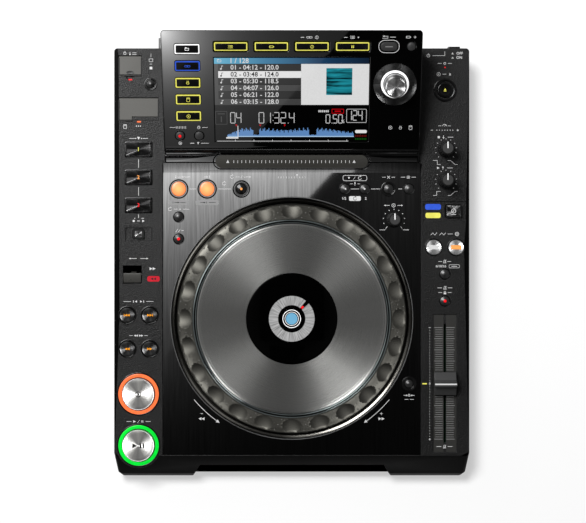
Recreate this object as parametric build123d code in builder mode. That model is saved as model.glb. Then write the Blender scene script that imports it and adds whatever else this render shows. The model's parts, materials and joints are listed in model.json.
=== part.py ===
"""Slot-loading disc player for a DJ's table: casing, keys, knobs, jog wheel, fader and disc drive.

Millimetres. +X is the user's right, +Y the rear, +Z up. The origin is on the table, under the middle
of the box round the player.
"""

import os
from collections import namedtuple
from math import atan2, cos, hypot, radians, sin

from build123d import *

os.makedirs("parts", exist_ok=True)

# ---- Jog wheel: what the panel is laid out around -------------------------------------------------
jog_radius = 103.0
jog_side_gap = 1.2
jog_cone_width = 5.0  # sloped rim of the base round the wheel
jog_wall_radius = jog_radius + jog_side_gap
jog_opening_radius = jog_wall_radius + jog_cone_width
jog_side_margin = 6.7  # brushed plate left beside the opening
jog_front_margin = 14.8
jog_rear_margin = 21.9

# ---- Casing: widths ---------------------------------------------------------------------------
panel_width = 2 * (jog_opening_radius + jog_side_margin)  # brushed plate between the columns
column_width = 43.9
case_width = panel_width + 2 * column_width
half_width = case_width / 2
column_x = (panel_width + case_width) / 4  # centre line of the right column

# ---- Casing: depths, added up from the front ----------------------------------------------------
toe_reach = 25.8  # from the front edge of the deck forward to the foot of the front toes
deck_length = jog_front_margin + 2 * jog_opening_radius + jog_rear_margin  # flat part of the deck
lip_run = 22.8  # from the end of the flat deck to the front edge of the display
display_run = 98.0
jack_overhang = 3.9  # jacks stand this far behind the display
display_overhang = 8.9  # display stands this far behind the rear panel
case_depth = toe_reach + deck_length + lip_run + display_run + jack_overhang

toe_front_y = -case_depth / 2
deck_front_y = toe_front_y + toe_reach
crease_y = deck_front_y + deck_length
display_front_y = crease_y + lip_run
display_rear_y = display_front_y + display_run
jack_tip_y = display_rear_y + jack_overhang
rear_y = display_rear_y - display_overhang

# ---- Casing: heights ----------------------------------------------------------------------------
foot_height = 5.0
deck_z = 60.0
parting_z = 22.0  # where the tray meets the top cover
display_front_z = 70.0
display_rear_z = 106.3
slope_fall = 1.43  # fall of the front slope for each millimetre forward
notch_depth = 10.5  # the recessed front wall stands this far in front of the deck's front edge
toe_shoulder = 19.3  # the slope runs this far forward over the toes

wall = 2.5
seam_gap = 0.3
corner_radius = 3.0
ledge_width = 4.0
ledge_grip = 3.0
ledge_thickness = 2.0
panel_lip = 0.8
bay_front = 6.0  # margins of roof left round the cable bay under the display
bay_side = 12.0
bay_rear = 20.0

panel_front_y = deck_front_y + panel_lip + seam_gap
notch_wall_y = deck_front_y - notch_depth
toe_shoulder_y = deck_front_y - toe_shoulder
toe_shoulder_z = deck_z - toe_shoulder * slope_fall
disc_slot_width = 128.0
notch_finger_room = 20.0  # beside the disc slot
notch_flare = 8.6
notch_half_back = disc_slot_width / 2 + notch_finger_room
notch_half_front = notch_half_back + notch_flare

# ---- Keys: the stack that every push key shares, measured down from the face it comes through ------
key_clearance = 0.35
key_corner = 1.0
key_edge = 0.4
flange_gap = 0.3
flange_thickness = 1.0
flange_reach = 1.2
key_travel = 1.2
end_gap = 0.3
switch_height = 3.5
switch_side = 5.0
board_thickness = 1.6
board_depth = 10.4
stem_radius = 1.6
stem_length = board_depth - switch_height - key_travel - end_gap - wall - flange_gap - flange_thickness
pillar_radius = 1.8

# ---- Tilted display -----------------------------------------------------------------------------
display_side_gap = 1.9
display_width = panel_width - 2 * display_side_gap
display_rise = display_rear_z - display_front_z
display_length = hypot(display_run, display_rise)
display_tilt = atan2(display_rise, display_run)
display_plane = Plane(
    origin=(0, display_front_y, display_front_z),
    x_dir=(1, 0, 0),
    z_dir=(0, -sin(display_tilt), cos(display_tilt)),
)
deck_plane = Plane.XY.offset(deck_z)
rear_plane = Plane(origin=(0, rear_y, 0), x_dir=(-1, 0, 0), z_dir=(0, 1, 0))

screen_side = 46.1  # display beside the screen, for the keys and the selector
screen_width = display_width - 2 * screen_side
screen_length = 75.4
screen_start = 4.5  # up the slope from the display's front edge
screen_middle = screen_start + screen_length / 2

# ---- Lip between the deck and the display -----------------------------------------------------------
panel_lip_run = 8.7  # sloped rear edge of the brushed plate
slope_run = 15.3  # whole slope, from the crease to the groove
slope_rise = 6.0
groove_depth = 1.4
groove_run = 3.2
ridge_run = 3.4
slope_angle = atan2(slope_rise, slope_run)
slope_plane = Plane(
    origin=(0, crease_y, deck_z), x_dir=(1, 0, 0), z_dir=(0, -sin(slope_angle), cos(slope_angle))
)
lip_back_y = crease_y + panel_lip_run
strip_length = screen_width + 0.9
strip_width = 12.1
strip_depth = 1.6
strip_margin = 2.0
strip_middle = 9.4 / cos(slope_angle)

# ---- Jog wheel ------------------------------------------------------------------------------------
jog_y = deck_front_y + jog_front_margin + jog_opening_radius
jog_floor_z = 43.2
jog_floor = 2.3
jog_cone_depth = 4.5
jog_flange_reach = 3.0
jog_bottom_z = 50.0
jog_shoulder_z = 64.5
jog_crown_z = 69.5
jog_rim_z = 71.2
jog_rim_width = 3.2
jog_web = 3.0
hub_radius = 22.0
hub_bottom_z = 47.0
hub_top_z = 60.0
post_radius = 14.0
running_gap = 0.05
plate_radius = 84.8
plate_z = 72.0
plate_thickness = 2.0
plate_gap = 0.6
plate_travel = 0.5
plate_seat_gap = 0.3
plate_skirt_radius = 62.0
head_radius = 40.45
head_gap = 0.45
head_z = 71.4
head_thickness = 5.4

# ---- Places of the controls ------------------------------------------------------------------------------
# Each row is measured from the one in front of it. What the column has beyond its rows' own pitches is
# shared between them.
play_margin = 9.6
cue_pitch = 46.2
search_pitch = 40.7
track_pitch = 30.3
lever_pitch = 36.5
call_pitch = 36.6
first_pad_pitch = 25.7
pad_row_pitch = 25.15
card_pitch = 38.0
usb_stop_pitch = 20.9
usb_pitch = 16.3
left_rear_margin = 15.9
left_rows = cue_pitch + search_pitch + track_pitch + lever_pitch + call_pitch + first_pad_pitch
left_rows += 2 * pad_row_pitch + card_pitch + usb_stop_pitch + usb_pitch
left_row_count = 11
left_spare = (rear_y - left_rear_margin - deck_front_y - play_margin - left_rows) / left_row_count
play_y = deck_front_y + play_margin
cue_y = play_y + cue_pitch + left_spare
search_y = cue_y + search_pitch + left_spare
track_y = search_y + track_pitch + left_spare
lever_y = track_y + lever_pitch + left_spare
call_y = lever_y + call_pitch + left_spare
pad_y = call_y + first_pad_pitch + left_spare
pad_pitch = pad_row_pitch + left_spare
card_y = pad_y + 2 * pad_pitch + card_pitch + left_spare
usb_stop_y = card_y + usb_stop_pitch + left_spare
usb_y = usb_stop_y + usb_pitch + left_spare

loop_row_y = crease_y - 14.7
loop_mode_y = loop_row_y - 25.2
slip_y = loop_mode_y - 19.8
jog_adjust_y = loop_row_y - 27.9
tempo_reset_y = jog_y - 59.0

fader_margin = 65.4
master_tempo_pitch = 74.2
tempo_range_pitch = 24.2
sync_pitch = 24.1
jog_mode_pitch = 32.6
release_pitch = 27.3
brake_pitch = 28.2
eject_pitch = 53.4
right_rear_margin = 37.6
right_rows = master_tempo_pitch + tempo_range_pitch + sync_pitch + jog_mode_pitch
right_rows += release_pitch + brake_pitch + eject_pitch
right_row_count = 7
right_spare = (rear_y - right_rear_margin - deck_front_y - fader_margin - right_rows) / right_row_count
fader_y = deck_front_y + fader_margin
master_tempo_y = fader_y + master_tempo_pitch + right_spare
tempo_range_y = master_tempo_y + tempo_range_pitch + right_spare
sync_y = tempo_range_y + sync_pitch + right_spare
jog_mode_y = sync_y + jog_mode_pitch + right_spare
release_knob_y = jog_mode_y + release_pitch + right_spare
brake_knob_y = release_knob_y + brake_pitch + right_spare
eject_y = brake_knob_y + eject_pitch + right_spare

pair_half = 10.1  # half the pitch of two buttons side by side in a column
Key = namedtuple("Key", "x y size rise")

big_cap_radius = 14.2
boss_ring_radius = big_cap_radius + 6.3
boss_height = 22.0
pair_cap_radius = 6.7
small_cap_radius = 4.2
pad_size = (24.1, 13.2)

column_keys = {
    "usb_stop_button": Key(11.0 - column_x, usb_stop_y, 3.6, 1.6),
    "hot_cue_pad_1": Key(-column_x, pad_y + 2 * pad_pitch, pad_size, 1.6),
    "hot_cue_pad_2": Key(-column_x, pad_y + pad_pitch, pad_size, 1.6),
    "hot_cue_pad_3": Key(-column_x, pad_y, pad_size, 1.6),
    "call_key": Key(-column_x, call_y, (9.6, 8.2), 1.0),
    "track_back_button": Key(-column_x - pair_half, track_y, pair_cap_radius, 1.6),
    "track_forward_button": Key(-column_x + pair_half, track_y, pair_cap_radius, 1.6),
    "search_back_button": Key(-column_x - pair_half, search_y, pair_cap_radius, 1.6),
    "search_forward_button": Key(-column_x + pair_half, search_y, pair_cap_radius, 1.6),
    "cue_button": Key(-column_x, cue_y, big_cap_radius, 3.0),
    "play_button": Key(-column_x, play_y, big_cap_radius, 3.0),
    "eject_button": Key(column_x, eject_y, pair_cap_radius, 2.0),
    "jog_mode_button": Key(column_x + 7.7, jog_mode_y, (14.0, 11.4), 1.8),
    "sync_button": Key(column_x - pair_half, sync_y, pair_cap_radius, 1.8),
    "master_button": Key(column_x + pair_half, sync_y, pair_cap_radius, 1.8),
    "tempo_range_button": Key(column_x, tempo_range_y, small_cap_radius, 1.6),
    "master_tempo_button": Key(column_x, master_tempo_y, small_cap_radius, 1.6),
}

panel_half = panel_width / 2
panel_keys = {
    "loop_in_button": Key(14.15 - panel_half, loop_row_y, 6.4, 2.0),
    "loop_out_button": Key(39.75 - panel_half, loop_row_y, 6.4, 2.0),
    "reloop_button": Key(70.55 - panel_half, loop_row_y, 4.6, 1.8),
    "loop_mode_button": Key(14.15 - panel_half, loop_mode_y, small_cap_radius, 1.6),
    "slip_button": Key(14.15 - panel_half, slip_y, small_cap_radius, 1.6),
    "call_back_button": Key(panel_half - 67.95, loop_row_y, small_cap_radius, 1.6),
    "call_next_button": Key(panel_half - 50.05, loop_row_y, small_cap_radius, 1.6),
    "delete_button": Key(panel_half - 28.65, loop_row_y, small_cap_radius, 1.6),
    "memory_button": Key(panel_half - 10.25, loop_row_y, small_cap_radius, 1.6),
    "tempo_reset_button": Key(panel_half - 10.35, tempo_reset_y, 3.5, 1.4),
}

display_half = display_width / 2
browse_pitch = screen_width / 4 + 1.45
browse_gap = 5.6
browse_row = 90.0
small_round_row = 9.75
source_x = 22.75 - display_half
source_pitch = 15.0
source_start = 27.8
source_count = 5
source_size = (21.0, 8.4)
browse_size = (browse_pitch - browse_gap, 8.4)
display_keys = {
    "browse_key": Key(-1.5 * browse_pitch, browse_row, browse_size, 1.2),
    "tag_key": Key(-0.5 * browse_pitch, browse_row, browse_size, 1.2),
    "info_key": Key(0.5 * browse_pitch, browse_row, browse_size, 1.2),
    "menu_key": Key(1.5 * browse_pitch, browse_row, browse_size, 1.2),
    "quantize_button": Key(14.55 - display_half, small_round_row, 3.8, 1.4),
    "time_mode_button": Key(31.65 - display_half, small_round_row, 3.8, 1.4),
    "back_button": Key(display_half - 29.25, browse_row, (14.5, 7.5), 1.2),
    "track_tag_button": Key(display_half - 9.65, browse_row, 3.6, 1.4),
}
source_rows = [source_start + source_pitch * step for step in range(source_count)]
source_keys = [Key(source_x, row, source_size, 1.2) for row in source_rows]

power_key = Key(11.8 - half_width, 40.0, (11.0, 8.0), 4.0)

# ---- Knobs -----------------------------------------------------------------------------------------
Knob = namedtuple("Knob", "x y top base height")
knob_shaft_radius = 3.0
knob_lift = 0.4
pot_side = 12.0
pot_height = 5.0
pot_grip = 4.0
column_knobs = {
    "touch_brake_knob": Knob(column_x + 1.0, brake_knob_y, 6.2, 7.3, 16.0),
    "release_start_knob": Knob(column_x + 1.0, release_knob_y, 6.2, 7.3, 16.0),
}
panel_knobs = {"jog_adjust_knob": Knob(panel_half - 23.85, jog_adjust_y, 6.0, 7.0, 12.0)}
knob_skirt = 3.0
knob_skirt_step = 0.5

selector_x = display_half - 23.25
selector_row = 56.4
dish_radius = 18.4
dish_depth = 1.2
selector_radius = 9.9
selector_height = 11.0
selector_lift = 1.2
selector_travel = 0.8
selector_shaft_radius = 3.0

# ---- Tempo fader -----------------------------------------------------------------------------------
fader_travel = 50.0
fader_cap = (19.8, 20.6, 10.5)  # across, along, high
fader_recess = (21.2, 124.4)
fader_recess_depth = 1.0
fader_slot = 2.0
stem_across = 1.2
stem_along = 6.0
fader_slot_length = 2 * fader_travel + stem_along + 0.7
fader_body = (12.0, 120.0, 8.5)

# ---- Direction lever ----------------------------------------------------------------------------------
lever_x = -column_x - 5.6
lever_slot = (16.7, 16.1)
lever_pivot_depth = 12.5
lever_reach = 14.0
lever_head_depth = 3.2
lever_swing = 13.5  # degrees each side of upright
lever_half_angle = 19.0
lever_pin_radius = 1.5
lever_ear = 2.0
lever_ear_length = 9.0
lever_ear_below = 4.0
lever_side_gap = 0.4

# ---- Shallow recesses round two keys ---------------------------------------------------------------
key_recess_depth = 0.8
call_recess = (23.0, 11.7)
jog_mode_recess = (38.2, 17.4)

# ---- Doors --------------------------------------------------------------------------------------------
Door = namedtuple("Door", "x y width length well_width well_length well_depth")
door_thickness = 1.6
door_drop = 0.3  # the door's face lies this far below the deck
door_gap = 0.35
hinge_pin_radius = 0.6
hinge_pin_length = 1.2
door_recess_depth = 2.2
usb_door = Door(-column_x - 7.6, usb_y, 19.8, 17.9, 13.2, 5.8, 14.0)
card_door = Door(-column_x, card_y, 35.0, 16.6, 26.0, 5.2, 22.0)
card_tab = (11.5, 4.2)
well_wall = 1.8
nail_radius = 3.6  # nail groove in front of the USB lid

# ---- Slot-loading drive -------------------------------------------------------------------------------
disc_slot_height = 4.6
disc_slot_z = 33.0
drive_width = disc_slot_width + 12.0
drive_length = 142.0
drive_bottom_z = 22.0
drive_top_z = 41.5
drive_setback = 2.8
spindle_y = notch_wall_y + 68.5
turntable_radius = 15.0
spindle_radius = 1.5
spindle_clearance = 0.6
roller_radius = 4.0
leg_radius = 4.0

# ---- Rear sockets: a block behind the panel with a cavity open to the rear --------------------------------
Socket = namedtuple("Socket", "x z width height cavity_width cavity_height depth cavity_depth")
rear_sockets = [
    Socket(105.0, 30.0, 27.0, 20.0, 24.0, 16.4, 22.0, 15.0),  # mains inlet
    Socket(20.0, 36.0, 16.0, 13.6, 12.0, 9.0, 20.0, 14.0),  # network
    Socket(-8.0, 36.0, 12.2, 11.0, 9.0, 8.0, 17.0, 12.0),  # USB-B
]
jack_radius = 4.1
round_jacks = [(-118.0, 36.0), (-98.0, 36.0), (-70.0, 36.0), (-42.0, 36.0)]
jack_bore = 1.6
mains_pin = (4.0, 2.0)
mains_pin_reach = 9.0
mains_pin_pitch = 7.0
earth_pin_rise = 2.5
live_pin_drop = 1.5
jack_body = 14.0
jack_bore_depth = 10.0

# ---- Fasteners and feet ---------------------------------------------------------------------------------
boss_radius = 4.0
screw_radius = 1.5
screw_head_radius = 3.0
screw_head = 1.6
foot_radius = 10.0
foot_stud = 3.0
boss_places = [
    (-half_width + 8.0, (play_y + cue_y) / 2),
    (half_width - 8.0, (play_y + cue_y) / 2),
    (-half_width + 8.0, pad_y + 2 * pad_pitch + 17.0),
    (half_width - 8.0, brake_knob_y + 19.0),
    (-84.0, rear_y - 11.0),
    (60.0, rear_y - 11.0),
]
foot_x = half_width - 34.8
foot_places = [(x, y) for x in (-foot_x, foot_x) for y in (deck_front_y - 5.0, rear_y - 22.0)]


def save(piece, name):
    """Labels a finished piece and writes it."""
    piece.label = name
    export_step(piece, f"parts/{name}.step")


def outline(size, grow=0.0):
    """Draws a key's outline: a circle for one number, a rounded rectangle for two."""
    if isinstance(size, tuple):
        RectangleRounded(size[0] + 2 * grow, size[1] + 2 * grow, key_corner + max(grow, 0))
    else:
        Circle(size + grow)


def key_holes(plane, keys):
    """Sketch of the holes that the keys need in a face."""
    with BuildSketch(plane) as holes:
        for key in keys:
            with Locations((key.x, key.y)):
                outline(key.size, key_clearance)
    return holes.sketch


def make_keys(name, plane, keys, strap=False):
    """Keycaps through a panel, each with a flange under the panel and a stem over its switch."""
    with BuildPart() as cap:
        for key in keys:
            with BuildSketch(plane.offset(-wall - flange_gap)):
                with Locations((key.x, key.y)):
                    outline(key.size)
            extrude(amount=wall + flange_gap + key.rise)
        top = cap.faces().filter_by(lambda face: face.normal_at().dot(plane.z_dir) > 0.99)
        fillet(top.edges(), key_edge)
        with BuildSketch(plane.offset(-wall - flange_gap)):
            for key in keys:
                with Locations((key.x, key.y)):
                    outline(key.size, key_clearance + flange_reach)
            if strap:
                with Locations((keys[0].x, (keys[0].y + keys[-1].y) / 2)):
                    Rectangle(keys[0].size[0] / 2, abs(keys[-1].y - keys[0].y))
        extrude(amount=-flange_thickness)
        with BuildSketch(plane.offset(-wall - flange_gap - flange_thickness)):
            for key in keys:
                with Locations((key.x, key.y)):
                    Circle(stem_radius)
        extrude(amount=-stem_length)
    save(cap.part, name)


def make_knob(name, knob):
    """Tapered knob over a skirt, on a shaft that turns in its pot below the deck."""
    with BuildPart() as turned:
        with BuildSketch(deck_plane.offset(knob_lift)):
            with Locations((knob.x, knob.y)):
                Circle(knob.base)
        extrude(amount=knob_skirt)
        with BuildSketch(deck_plane.offset(knob_lift + knob_skirt)):
            with Locations((knob.x, knob.y)):
                Circle(knob.base - knob_skirt_step)
        with BuildSketch(deck_plane.offset(knob_lift + knob.height)):
            with Locations((knob.x, knob.y)):
                Circle(knob.top)
        loft()
        fillet(turned.faces().sort_by(Axis.Z)[-1].edges(), key_edge)
        with BuildSketch(deck_plane.offset(knob_lift)):
            with Locations((knob.x, knob.y)):
                Circle(knob_shaft_radius)
        extrude(amount=-(knob_lift + board_depth - pot_height + pot_grip))
    save(turned.part, name)


def case_block(inset, low, high):
    """The casing as one solid between two heights, set `inset` inside the outer skin."""
    with BuildPart() as block:
        with BuildSketch(Plane.YZ):
            with BuildLine():
                Polyline(
                    (rear_y, foot_height),
                    (rear_y, deck_z),
                    (deck_front_y, deck_z),
                    (toe_shoulder_y, toe_shoulder_z),
                    (toe_front_y, foot_height),
                    close=True,
                )
            make_face()
            if inset:
                offset(amount=-inset, kind=Kind.INTERSECTION, mode=Mode.REPLACE)
        extrude(amount=half_width - inset, both=True)
        if not inset:
            side_corners = block.edges().filter_by(
                lambda edge: abs(edge.center().X) > half_width - 0.01 and abs(edge.tangent_at(0.5).Z) > 0.5
            )
            fillet(side_corners, corner_radius)
        flare = (notch_half_front - notch_half_back) / (notch_wall_y - toe_front_y)
        ahead = 10.0
        mouth = notch_half_front + flare * ahead
        with BuildSketch(Plane.XY):
            with BuildLine():
                Polyline(
                    (-notch_half_back, notch_wall_y),
                    (notch_half_back, notch_wall_y),
                    (mouth, toe_front_y - ahead),
                    (-mouth, toe_front_y - ahead),
                    close=True,
                )
            make_face()
            if inset:
                offset(amount=inset, kind=Kind.INTERSECTION, mode=Mode.REPLACE)
        extrude(amount=deck_z, mode=Mode.SUBTRACT)
        with BuildSketch(Plane.XY.offset(low)):
            Rectangle(2 * case_width, 2 * case_depth)
        extrude(amount=high - low, mode=Mode.INTERSECT)
    return block.part


def top_cover():
    """Top shell: both columns with the ledge that carries the deck panel, and the front apron."""
    opening_length = lip_back_y - panel_front_y + 2 * seam_gap
    opening_y = (lip_back_y + panel_front_y) / 2
    ledge_front_y = panel_front_y - seam_gap - 2 * panel_lip
    ledge_back_y = lip_back_y + ledge_grip
    bay_length = rear_y - bay_rear - lip_back_y - bay_front
    bay_y = lip_back_y + bay_front + bay_length / 2
    tab_x = card_door.x - card_door.width / 2 + card_tab[0] / 2
    with BuildPart() as cover:
        add(case_block(0, parting_z, deck_z))
        # The boss round the play button stands out over the front slope.
        with BuildSketch(Plane.XY.offset(deck_z - boss_height)):
            with Locations((-column_x, play_y)):
                Circle(boss_ring_radius)
        extrude(amount=boss_height)
        add(case_block(wall, foot_height, deck_z), mode=Mode.SUBTRACT)
        with BuildSketch(Plane.XY.offset(deck_z - boss_height)):
            with Locations((-column_x, play_y)):
                Circle(boss_ring_radius - wall)
        extrude(amount=boss_height - wall, mode=Mode.SUBTRACT)
        # The rear panel belongs to the tray, so the cover has only its roof and sides there.
        with BuildSketch(Plane.XY.offset(parting_z)):
            with Locations((0, rear_y)):
                Rectangle(case_width - 2 * wall, 2 * (wall + seam_gap))
        extrude(amount=deck_z - wall - parting_z, mode=Mode.SUBTRACT)
        # Opening for the deck panel, with a ledge under its edge.
        with BuildSketch(deck_plane):
            with Locations((0, opening_y)):
                Rectangle(panel_width + 2 * seam_gap, opening_length)
        extrude(amount=-wall, mode=Mode.SUBTRACT)
        with BuildSketch(deck_plane.offset(-wall)):
            with Locations((0, (ledge_front_y + ledge_back_y) / 2)):
                Rectangle(panel_width + 2 * ledge_grip, ledge_back_y - ledge_front_y)
            with Locations((0, opening_y)):
                inner_width = panel_width - 2 * ledge_width
                Rectangle(inner_width, opening_length - 2 * ledge_width, mode=Mode.SUBTRACT)
            with Locations((0, jog_y)):
                Circle(jog_wall_radius + jog_flange_reach + 6.0, mode=Mode.SUBTRACT)
        extrude(amount=-ledge_thickness)
        # Cable bay under the display.
        with BuildSketch(deck_plane):
            with Locations((0, bay_y)):
                Rectangle(display_width - 2 * bay_side, bay_length)
        extrude(amount=-wall, mode=Mode.SUBTRACT)
        # Openings of the two doors, with a collar below that holds the sockets' blocks.
        for door in (usb_door, card_door):
            with BuildSketch(deck_plane.offset(-wall)):
                with Locations((door.x, door.y)):
                    Rectangle(door.width + 2 * well_wall, door.length + 2 * well_wall)
            extrude(amount=-(door_recess_depth + well_wall - wall))
            with BuildSketch(deck_plane):
                with Locations((door.x, door.y)):
                    Rectangle(door.width + 2 * door_gap, door.length + 2 * door_gap)
            extrude(amount=-(door_recess_depth + well_wall), mode=Mode.SUBTRACT)
            hinge_z = deck_z - door_drop - door_thickness / 2
            hinge_y = door.y + door.length / 2 - door_thickness / 2
            with BuildSketch(Plane.YZ.offset(door.x)):
                with Locations((hinge_y, hinge_z)):
                    Circle(hinge_pin_radius + running_gap)
            extrude(amount=door.width / 2 + hinge_pin_length + 0.3, both=True, mode=Mode.SUBTRACT)
        with BuildSketch(deck_plane):
            with Locations((tab_x, card_door.y - card_door.length / 2)):
                Rectangle(card_tab[0] + 2 * door_gap, 2 * (card_tab[1] + door_gap))
            with Locations((usb_door.x, usb_door.y - usb_door.length / 2)):
                Circle(nail_radius)
        extrude(amount=-door_drop - door_thickness, mode=Mode.SUBTRACT)
        # Recesses round the call key, the jog-mode key and the fader.
        with BuildSketch(deck_plane):
            with Locations((-column_x, call_y)):
                Rectangle(*call_recess)
            with Locations((column_x, jog_mode_y)):
                Rectangle(*jog_mode_recess)
        extrude(amount=-key_recess_depth, mode=Mode.SUBTRACT)
        with BuildSketch(deck_plane):
            with Locations((column_x, fader_y)):
                Rectangle(*fader_recess)
        extrude(amount=-fader_recess_depth, mode=Mode.SUBTRACT)
        with BuildSketch(deck_plane):
            with Locations((column_x, fader_y)):
                Rectangle(fader_slot, fader_slot_length)
            with Locations((lever_x, lever_y)):
                Rectangle(*lever_slot)
            for knob in column_knobs.values():
                with Locations((knob.x, knob.y)):
                    Circle(knob_shaft_radius + key_clearance)
        extrude(amount=-wall, mode=Mode.SUBTRACT)
        # Ears that hold the direction lever's pin.
        ear_x = lever_slot[0] / 2 + lever_ear / 2
        with BuildSketch(deck_plane.offset(-wall)):
            with Locations((lever_x - ear_x, lever_y), (lever_x + ear_x, lever_y)):
                Rectangle(lever_ear, lever_ear_length)
        extrude(amount=-(lever_pivot_depth + lever_ear_below - wall))
        with BuildSketch(Plane.YZ.offset(lever_x)):
            with Locations((lever_y, deck_z - lever_pivot_depth)):
                Circle(lever_pin_radius + running_gap)
        extrude(amount=lever_slot[0] / 2 + lever_ear, both=True, mode=Mode.SUBTRACT)
        extrude(key_holes(deck_plane, column_keys.values()), amount=-wall, mode=Mode.SUBTRACT)
        # Slot for the disc in the recessed front wall.
        with BuildSketch(Plane.XZ.offset(-notch_wall_y)):
            with Locations((0, disc_slot_z)):
                Rectangle(disc_slot_width, disc_slot_height)
        extrude(amount=-wall, mode=Mode.SUBTRACT)
        # Screw bosses, down to the tray's floor.
        with BuildSketch(Plane.XY.offset(foot_height + wall)):
            with Locations(*boss_places):
                Circle(boss_radius)
        extrude(amount=deck_z - 2 * wall - foot_height)
        with BuildSketch(Plane.XY.offset(foot_height + wall)):
            with Locations(*boss_places):
                Circle(screw_radius + running_gap)
        extrude(amount=20.0, mode=Mode.SUBTRACT)
    # The shell is moulded in two: the roof with both columns, and the front apron with the toes.
    with BuildSketch() as front:
        with Locations((0, deck_front_y - case_depth / 2)):
            Rectangle(2 * case_width, case_depth)
        with Locations((-column_x, play_y)):
            Circle(boss_ring_radius, mode=Mode.SUBTRACT)
    with BuildPart() as apron:
        add(cover.part)
        extrude(front.sketch, amount=deck_z, mode=Mode.INTERSECT)
    with BuildPart() as roof:
        add(cover.part)
        extrude(front.sketch, amount=deck_z, mode=Mode.SUBTRACT)
    save(Compound(children=[roof.part, apron.part]), "top_cover")


def deck_panel():
    """Brushed plate with the jog opening, and its raised rear lip with half of the touch strip's recess."""
    with BuildPart() as panel:
        with BuildSketch(Plane.YZ):
            with BuildLine():
                Polyline(
                    (panel_front_y, deck_z - wall),
                    (panel_front_y, deck_z),
                    (crease_y, deck_z),
                    (lip_back_y, deck_z + slope_rise * panel_lip_run / slope_run),
                    (lip_back_y, deck_z - wall),
                    close=True,
                )
            make_face()
        extrude(amount=panel_width / 2, both=True)
        with BuildSketch(deck_plane):
            with Locations((0, jog_y)):
                Circle(jog_opening_radius)
            for knob in panel_knobs.values():
                with Locations((knob.x, knob.y)):
                    Circle(knob_shaft_radius + key_clearance)
        extrude(amount=-wall, mode=Mode.SUBTRACT)
        with BuildSketch(slope_plane):
            with Locations((0, strip_middle)):
                SlotOverall(strip_length + 2 * strip_margin, strip_width + strip_margin)
        extrude(amount=-strip_depth, mode=Mode.SUBTRACT)
        extrude(key_holes(deck_plane, panel_keys.values()), amount=-wall, mode=Mode.SUBTRACT)
    save(panel.part, "deck_panel")


def lower_case():
    """Tray: floor, low walls and the rear panel with its cut-outs."""
    with BuildPart() as tray:
        add(case_block(0, foot_height, parting_z))
        add(case_block(wall, foot_height + wall, parting_z), mode=Mode.SUBTRACT)
        with BuildSketch(Plane.XY.offset(foot_height)):
            with Locations((0, rear_y - wall / 2)):
                Rectangle(case_width - 2 * wall - 2 * seam_gap, wall)
        extrude(amount=deck_z - wall - seam_gap - foot_height)
        with BuildSketch(rear_plane):
            for jack in rear_sockets:
                with Locations((-jack.x, jack.z)):
                    Rectangle(jack.width + 2 * seam_gap, jack.height + 2 * seam_gap)
            for x, z in round_jacks:
                with Locations((-x, z)):
                    Circle(jack_radius + seam_gap)
            with Locations((power_key.x, power_key.y)):
                outline(power_key.size, key_clearance)
        extrude(amount=-wall, mode=Mode.SUBTRACT)
        with BuildSketch(Plane.XY.offset(foot_height)):
            with Locations(*boss_places):
                Circle(screw_radius + 0.3)
            with Locations(*foot_places):
                Circle(foot_stud + running_gap)
        extrude(amount=wall, mode=Mode.SUBTRACT)
        with BuildSketch(Plane.XY.offset(foot_height)):
            with Locations(*boss_places):
                Circle(screw_head_radius + 0.3)
        extrude(amount=screw_head, mode=Mode.SUBTRACT)
    save(tray.part, "lower_case")


def sockets():
    """Rear socket blocks, round jacks to the deepest point, and the sockets under the two doors."""
    with BuildPart() as jacks:
        for jack in rear_sockets:
            with BuildSketch(rear_plane):
                with Locations((-jack.x, jack.z)):
                    Rectangle(jack.width, jack.height)
            extrude(amount=-jack.depth)
            with BuildSketch(rear_plane):
                with Locations((-jack.x, jack.z)):
                    Rectangle(jack.cavity_width, jack.cavity_height)
            extrude(amount=-jack.cavity_depth, mode=Mode.SUBTRACT)
        mains = rear_sockets[0]
        with BuildSketch(rear_plane.offset(-mains.cavity_depth)):
            with Locations(
                (-mains.x - mains_pin_pitch, mains.z - live_pin_drop),
                (-mains.x, mains.z + earth_pin_rise),
                (-mains.x + mains_pin_pitch, mains.z - live_pin_drop),
            ):
                Rectangle(mains_pin[1], mains_pin[0])
        extrude(amount=mains_pin_reach)
        for x, z in round_jacks:
            with BuildSketch(rear_plane.offset(-jack_body)):
                with Locations((-x, z)):
                    Circle(jack_radius)
            extrude(amount=jack_body + jack_tip_y - rear_y)
            with BuildSketch(rear_plane.offset(-jack_bore_depth)):
                with Locations((-x, z)):
                    Circle(jack_bore)
            extrude(amount=jack_bore_depth + jack_tip_y - rear_y, mode=Mode.SUBTRACT)
    with BuildPart() as wells:
        for door in (usb_door, card_door):
            with BuildSketch(deck_plane.offset(-door_recess_depth)):
                with Locations((door.x, door.y)):
                    Rectangle(door.width + 2 * door_gap, door.length + 2 * door_gap)
            extrude(amount=-(door.well_depth + well_wall - door_recess_depth))
            with BuildSketch(deck_plane.offset(-door_recess_depth)):
                with Locations((door.x, door.y)):
                    Rectangle(door.well_width, door.well_length)
            extrude(amount=-(door.well_depth - door_recess_depth), mode=Mode.SUBTRACT)
    save(Compound(children=[jacks.part, wells.part]), "sockets")


def display_hollow():
    """Side view of the hollow inside the display housing, drawn in the Y-Z plane."""
    with BuildSketch(Plane.YZ) as hollow:
        with BuildLine():
            Polyline(
                (display_front_y, deck_z - wall),
                (display_front_y, display_front_z),
                (display_rear_y, display_rear_z),
                (rear_y, deck_z - wall),
                close=True,
            )
        make_face()
        offset(amount=-wall, kind=Kind.INTERSECTION, mode=Mode.REPLACE)
    return hollow.sketch


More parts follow.
